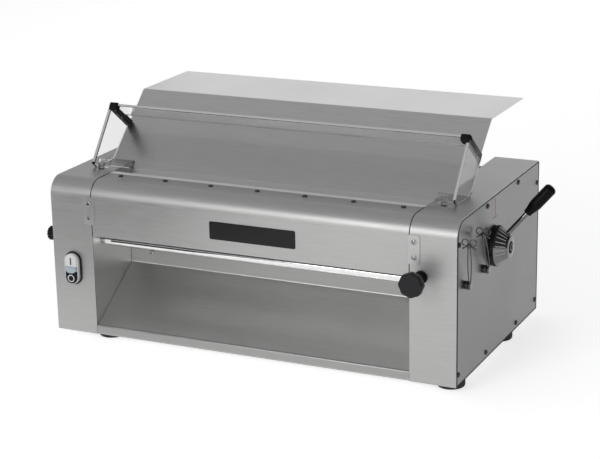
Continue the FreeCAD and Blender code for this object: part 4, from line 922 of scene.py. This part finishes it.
# Cover seams: a black bead of rubber fills the seam at each end of the cover, from its bottom edge over
# the bend to the back, as painted shade for a dark seam line, and a pale plastic strip closes its rear edge
# along the feed opening, its white a painted highlight for a bright edge.
seam_shade_radius, cover_bend = 0.0007, 0.028
bend_turn = np.linspace(0, math.pi / 2, 16)
bend_middle = np.array([cover_low[1] + cover_bend, cover_high[2] - cover_bend])
bend_path = bend_middle + cover_bend * np.column_stack([-np.cos(bend_turn), np.sin(bend_turn)])
seam_path = np.vstack([[(cover_low[1], cover_low[2])], bend_path, [(cover_high[1], cover_high[2])]])
for side, seam_x in (
    ("left", (cover_low[0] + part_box("left_wrap")[1][0]) / 2),
    ("right", (cover_high[0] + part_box("right_wrap")[0][0]) / 2),
):
    # Painted shade: the bead's black stands for the dark line of the seam.
    seam_shade_path = np.column_stack([np.full(len(seam_path), seam_x), seam_path])
    seam_shade = joined(f"{side}_seam_shade_line", [tube(seam_shade_path, seam_shade_radius, right)])
    mount(seam_shade, rubber, "frame", "foot_rubber")
# Painted highlight: the strip's white stands for a bright edge along the feed opening.
painted_highlight_white = moulded("painted_highlight_white", (0.92, 0.92, 0.91), 0.35, uneven=0.04)
strip_depth, strip_gauge = 0.013, 0.004
strip = stacked(
    "feed_strip",
    rounded_outline(cover_high[0] - cover_low[0], strip_depth, 0.001),
    with_rounds(strip_gauge, 0.0003, 0.0006),
    (middle_x, cover_high[1] + strip_depth / 2, cover_high[2] - strip_gauge),
    up,
    right,
)
mount(strip, painted_highlight_white, "frame", "button_white")

# Switch: a silver oval bezel in a black base ring, a dark gasket behind it, a white start button and a
# black stop button, both round at the outer end and flat beside the pale lens, which has a cap over the
# stop button. Their marks are the usual bar and ring.
end_flat = 1e-5


def oval(width, height):
    """An upright rectangle whose ends are half round, but for a tiny flat."""
    return rounded_outline(width, height, width / 2 - end_flat, steps=20)


bezel_silver = moulded("bezel_silver", (0.78, 0.78, 0.79), 0.26, speckle=500.0, uneven=0.04, relief=0.03)
button_white = moulded("button_white", (0.9, 0.9, 0.89), 0.3, uneven=0.03, relief=0.03)
button_black = moulded("button_black", (0.01, 0.01, 0.011), 0.35, relief=0.03, Specular_IOR_Level=0.2)
lens_pale = moulded("lens_pale", (0.52, 0.6, 0.66), 0.2, uneven=0.05, relief=0.02)
bezel_low, bezel_high = np.array(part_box("switch_bezel"))
switch_seat = seat("switch_bezel", 1, bezel_high[1])
base_width, bezel_depth, base_height = bezel_high - bezel_low
base_gauge, base_lap, base_clear, bezel_wall, bezel_round = 0.003, 0.0022, 0.0003, 0.002, 0.0008
base_inner = base_lap + base_clear
base = stacked(
    "switch_base",
    oval(base_width, base_height),
    np.vstack([with_rounds(base_gauge, 0.0002, 0.001), [(base_inner, base_gauge), (base_inner, 0)]]),
    switch_seat,
    -back,
    right,
    loop=True,
)
mount(base, button_black, "frame", "black_plastic", "switch_bezel")
bezel_width, bezel_height = base_width - 2 * base_lap, base_height - 2 * base_lap
bezel_edge = with_rounds(bezel_depth, 0.0002, bezel_round)
bezel_inner = bezel_edge[::-1] * (-1, 1) + (bezel_wall, 0)
bezel = stacked(
    "oval_bezel",
    oval(bezel_width, bezel_height),
    np.vstack([bezel_edge, bezel_inner]),
    switch_seat,
    -back,
    right,
    loop=True,
)
mount(bezel, bezel_silver, "frame", "bezel_silver", "switch_bezel")
gasket_gauge = 0.0002
gasket = stacked(
    "switch_gasket",
    oval(bezel_width - 2 * bezel_wall, bezel_height - 2 * bezel_wall),
    [(0, 0), (0, gasket_gauge)],
    switch_seat,
    -back,
    right,
)
mount(gasket, rubber, "frame", "black_plastic")
button_round, button_corner, button_sink = 0.0012, 0.0014, 0.004
for name, material, slot, corners in (
    ("start", button_white, "button_white", (1, 1, 0, 0)),
    ("stop", button_black, "button_black", (0, 0, 1, 1)),
):
    low, high = np.array(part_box(f"{name}_button"))
    width, depth, height = high - low
    depth = depth - button_sink
    radii = np.where(corners, width / 2 - end_flat, button_corner)
    button = stacked(
        f"{name}_push_button",
        rounded_outline(width, height, radii, steps=16),
        with_rounds(depth, 0.0003, button_round),
        seat(f"{name}_button", 1, high[1]),
        -back,
        right,
    )
    mount(button, material, f"{name}_button", slot, f"{name}_button")
mark_gauge, bar_width, bar_height, bar_corner, bar_drop = 0.0003, 0.0022, 0.012, 0.0004, 0.0005
mark_radius, mark_stroke, mark_drop = 0.0062, 0.0015, 0.0012
start_front, stop_front = (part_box(f"{name}_button")[0][1] + button_sink for name in ("start", "stop"))
bar_mark = stacked(
    "bar_mark",
    rounded_outline(bar_width, bar_height, bar_corner, steps=3),
    [(0, 0), (0, mark_gauge)],
    seat("start_button", 1, start_front) - bar_drop * up,
    -back,
    right,
)
mount(bar_mark, black_ink, "start_button", "button_black")
ring_mark = stacked(
    "ring_mark",
    round_outline(mark_radius),
    [(0, 0), (0, mark_gauge), (mark_stroke, mark_gauge), (mark_stroke, 0)],
    seat("stop_button", 1, stop_front) - mark_drop * up,
    -back,
    right,
    loop=True,
)
mount(ring_mark, button_white, "stop_button", "button_white")
lens_low, lens_high = np.array(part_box("pilot_lens"))
lens_width, _, lens_height = lens_high - lens_low
lens_corner, cap_clear, cap_gauge, cap_height = 0.0008, 0.0002, 0.0012, 0.0105
lens_front = stop_front - cap_clear - cap_gauge / 2
lens = stacked(
    "lens",
    rounded_outline(lens_width, lens_height, lens_corner),
    with_rounds(bezel_high[1] - lens_front, 0.0001, 0.0008),
    seat("pilot_lens", 1, bezel_high[1]),
    -back,
    right,
)
mount(lens, lens_pale, "frame", "lens_pale", "pilot_lens")
cap_corner, cap_round, cap_bow = 0.0015, 0.0005, cap_height - 0.002
cap_z = lens_high[2] + (cap_corner - cap_height) / 2
lens_cap = stacked(
    "lens_cap",
    rounded_outline(lens_width, cap_height, (cap_corner, cap_corner, cap_bow, cap_bow), steps=16),
    with_rounds(cap_gauge, 0.0001, cap_round),
    (middle("pilot_lens")[0], stop_front - cap_clear, cap_z),
    -back,
    right,
)
mount(lens_cap, lens_pale, "frame", "lens_pale", "pilot_lens")

# Star knob: a black moulded knob with eight rounded lobes and a fluted neck, on a steel stud that
# turns in the right tower's bush.
star_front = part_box("star_knob")[0][1]
lobe_count, star_radius, star_length, lobe_depth = 8, 0.0195, 0.013, 0.0011
disc_radius, disc_height, disc_proud = 0.0075, 0.0008, 0.0003
neck_radius, neck_length, neck_flute = 0.0098, 0.021, 0.0012
star = stacked(
    "star_lobes",
    lobed_outline(star_radius, lobe_depth, lobe_count),
    with_rounds(star_length, 0.0025, 0.0035, steps=8),
    seat("star_knob", 1, star_front + disc_proud + star_length),
    -back,
    right,
)
smooth_grained = {"speckle": 1400.0, "relief": 0.1, "Specular_IOR_Level": 0.28}
knob_black = moulded("knob_black", (0.008, 0.0085, 0.01), 0.36, **smooth_grained)
mount(star, knob_black, "clamp_knob", "black_plastic", "star_knob")
neck = stacked(
    "star_neck",
    lobed_outline(neck_radius, neck_flute, lobe_count),
    with_rounds(neck_length, 0.0015, 0.0002),
    seat("star_knob", 1, star_front + star_length + neck_length),
    -back,
    right,
)
mount(neck, black_plastic, "clamp_knob", "black_plastic", "star_knob")
cap = stacked(
    "star_cap",
    round_outline(disc_radius),
    with_rounds(disc_height, 0.0001, 0.0005),
    seat("star_knob", 1, star_front + disc_height),
    -back,
    right,
)
mount(cap, knob_black, "clamp_knob", "black_plastic")
dress(screw_steel, "knob_stud")
dress(black_plastic, "knob_bush")

# Cable gland: a hexagonal flange on the back panel and a fluted dome nut with the cable's hole, of the
# same black plastic as the guard's bars. There is no cable in it.
gland_low, gland_high = np.array(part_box("cable_gland"))
gland_radius, collar_gauge, gland_hole = (gland_high[2] - gland_low[2]) / 2, 0.005, 0.004
collar = stacked(
    "gland_flange",
    rounded_polygon(6, gland_radius, 0.001),
    with_rounds(collar_gauge, 0.0002, 0.0008),
    seat("cable_gland", 1, gland_low[1]),
    back,
    right,
)
mount(collar, black_plastic, "frame", "black_plastic", "cable_gland")
dome_radius, hole_floor = 0.86 * gland_radius, 0.002
dome_length = gland_high[1] - gland_low[1] - collar_gauge
hole_inset = dome_radius - gland_hole
dome_levels = np.vstack([
    with_rounds(dome_length, 0.0002, 0.004),
    [(hole_inset, dome_length), (hole_inset, hole_floor)],
])
dome = stacked(
    "gland_nut",
    lobed_outline(dome_radius, 0.0008, 16),
    dome_levels,
    seat("cable_gland", 1, gland_low[1] + collar_gauge),
    back,
    right,
)
mount(dome, black_plastic, "frame", "black_plastic", "cable_gland")

# Works inside: polished rollers in bronze bushes with polished scrapers, cut gears, cams and carriages of
# machined steel, and a dark painted motor and gearbox that drive the rollers by a flat belt on two pulleys.
polished = turned_steel("polished_steel", 0.8, 0.08, marks=400.0)
dress(polished, "front_roller", "rear_roller", "front_scraper", "rear_scraper")
dress(polished, "adjust_shaft", "drive_shaft")
dress(turned_steel("gear_steel", 0.38, 0.3), "front_roller_gear", "rear_roller_gear", "spiral_cams")
dress(bar_steel, "roller_carriages", "motor_cradle")
bronze, tree, shader = new_material("bush_bronze", Metallic=1.0)
place = object_place(tree)
tarnish = noise(tree, place, 120.0, 3.0)
colour = add_node(tree, "ShaderNodeValToRGB", {0: tarnish})
colour.color_ramp.elements[0].color = (0.5, 0.34, 0.16, 1)
colour.color_ramp.elements[1].color = (0.68, 0.5, 0.27, 1)
tree.links.new(colour.outputs["Color"], shader.inputs["Base Color"])
wear_range = {"Value": tarnish, "To Min": 0.22, "To Max": 0.42}
wear = add_node(tree, "ShaderNodeMapRange", wear_range).outputs[0]
tree.links.new(wear, shader.inputs["Roughness"])
dress(bronze, "front_bushes", "rear_bushes")
dress(turned_steel("pulley_aluminium", 0.6, 0.28), "roller_pulley", "motor_pulley")
dress(moulded("motor_paint", (0.05, 0.055, 0.062), 0.42, speckle=1800.0, relief=0.35), "motor", "gearbox")
dress(moulded("belt_rubber", (0.03, 0.03, 0.03), 0.7, speckle=700.0, relief=0.3), "drive_belt")
dress(black_plastic, "switch_block")

size = {"cad": [list(corner) for corner in cad_box], "visual": [list(corner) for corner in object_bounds()]}
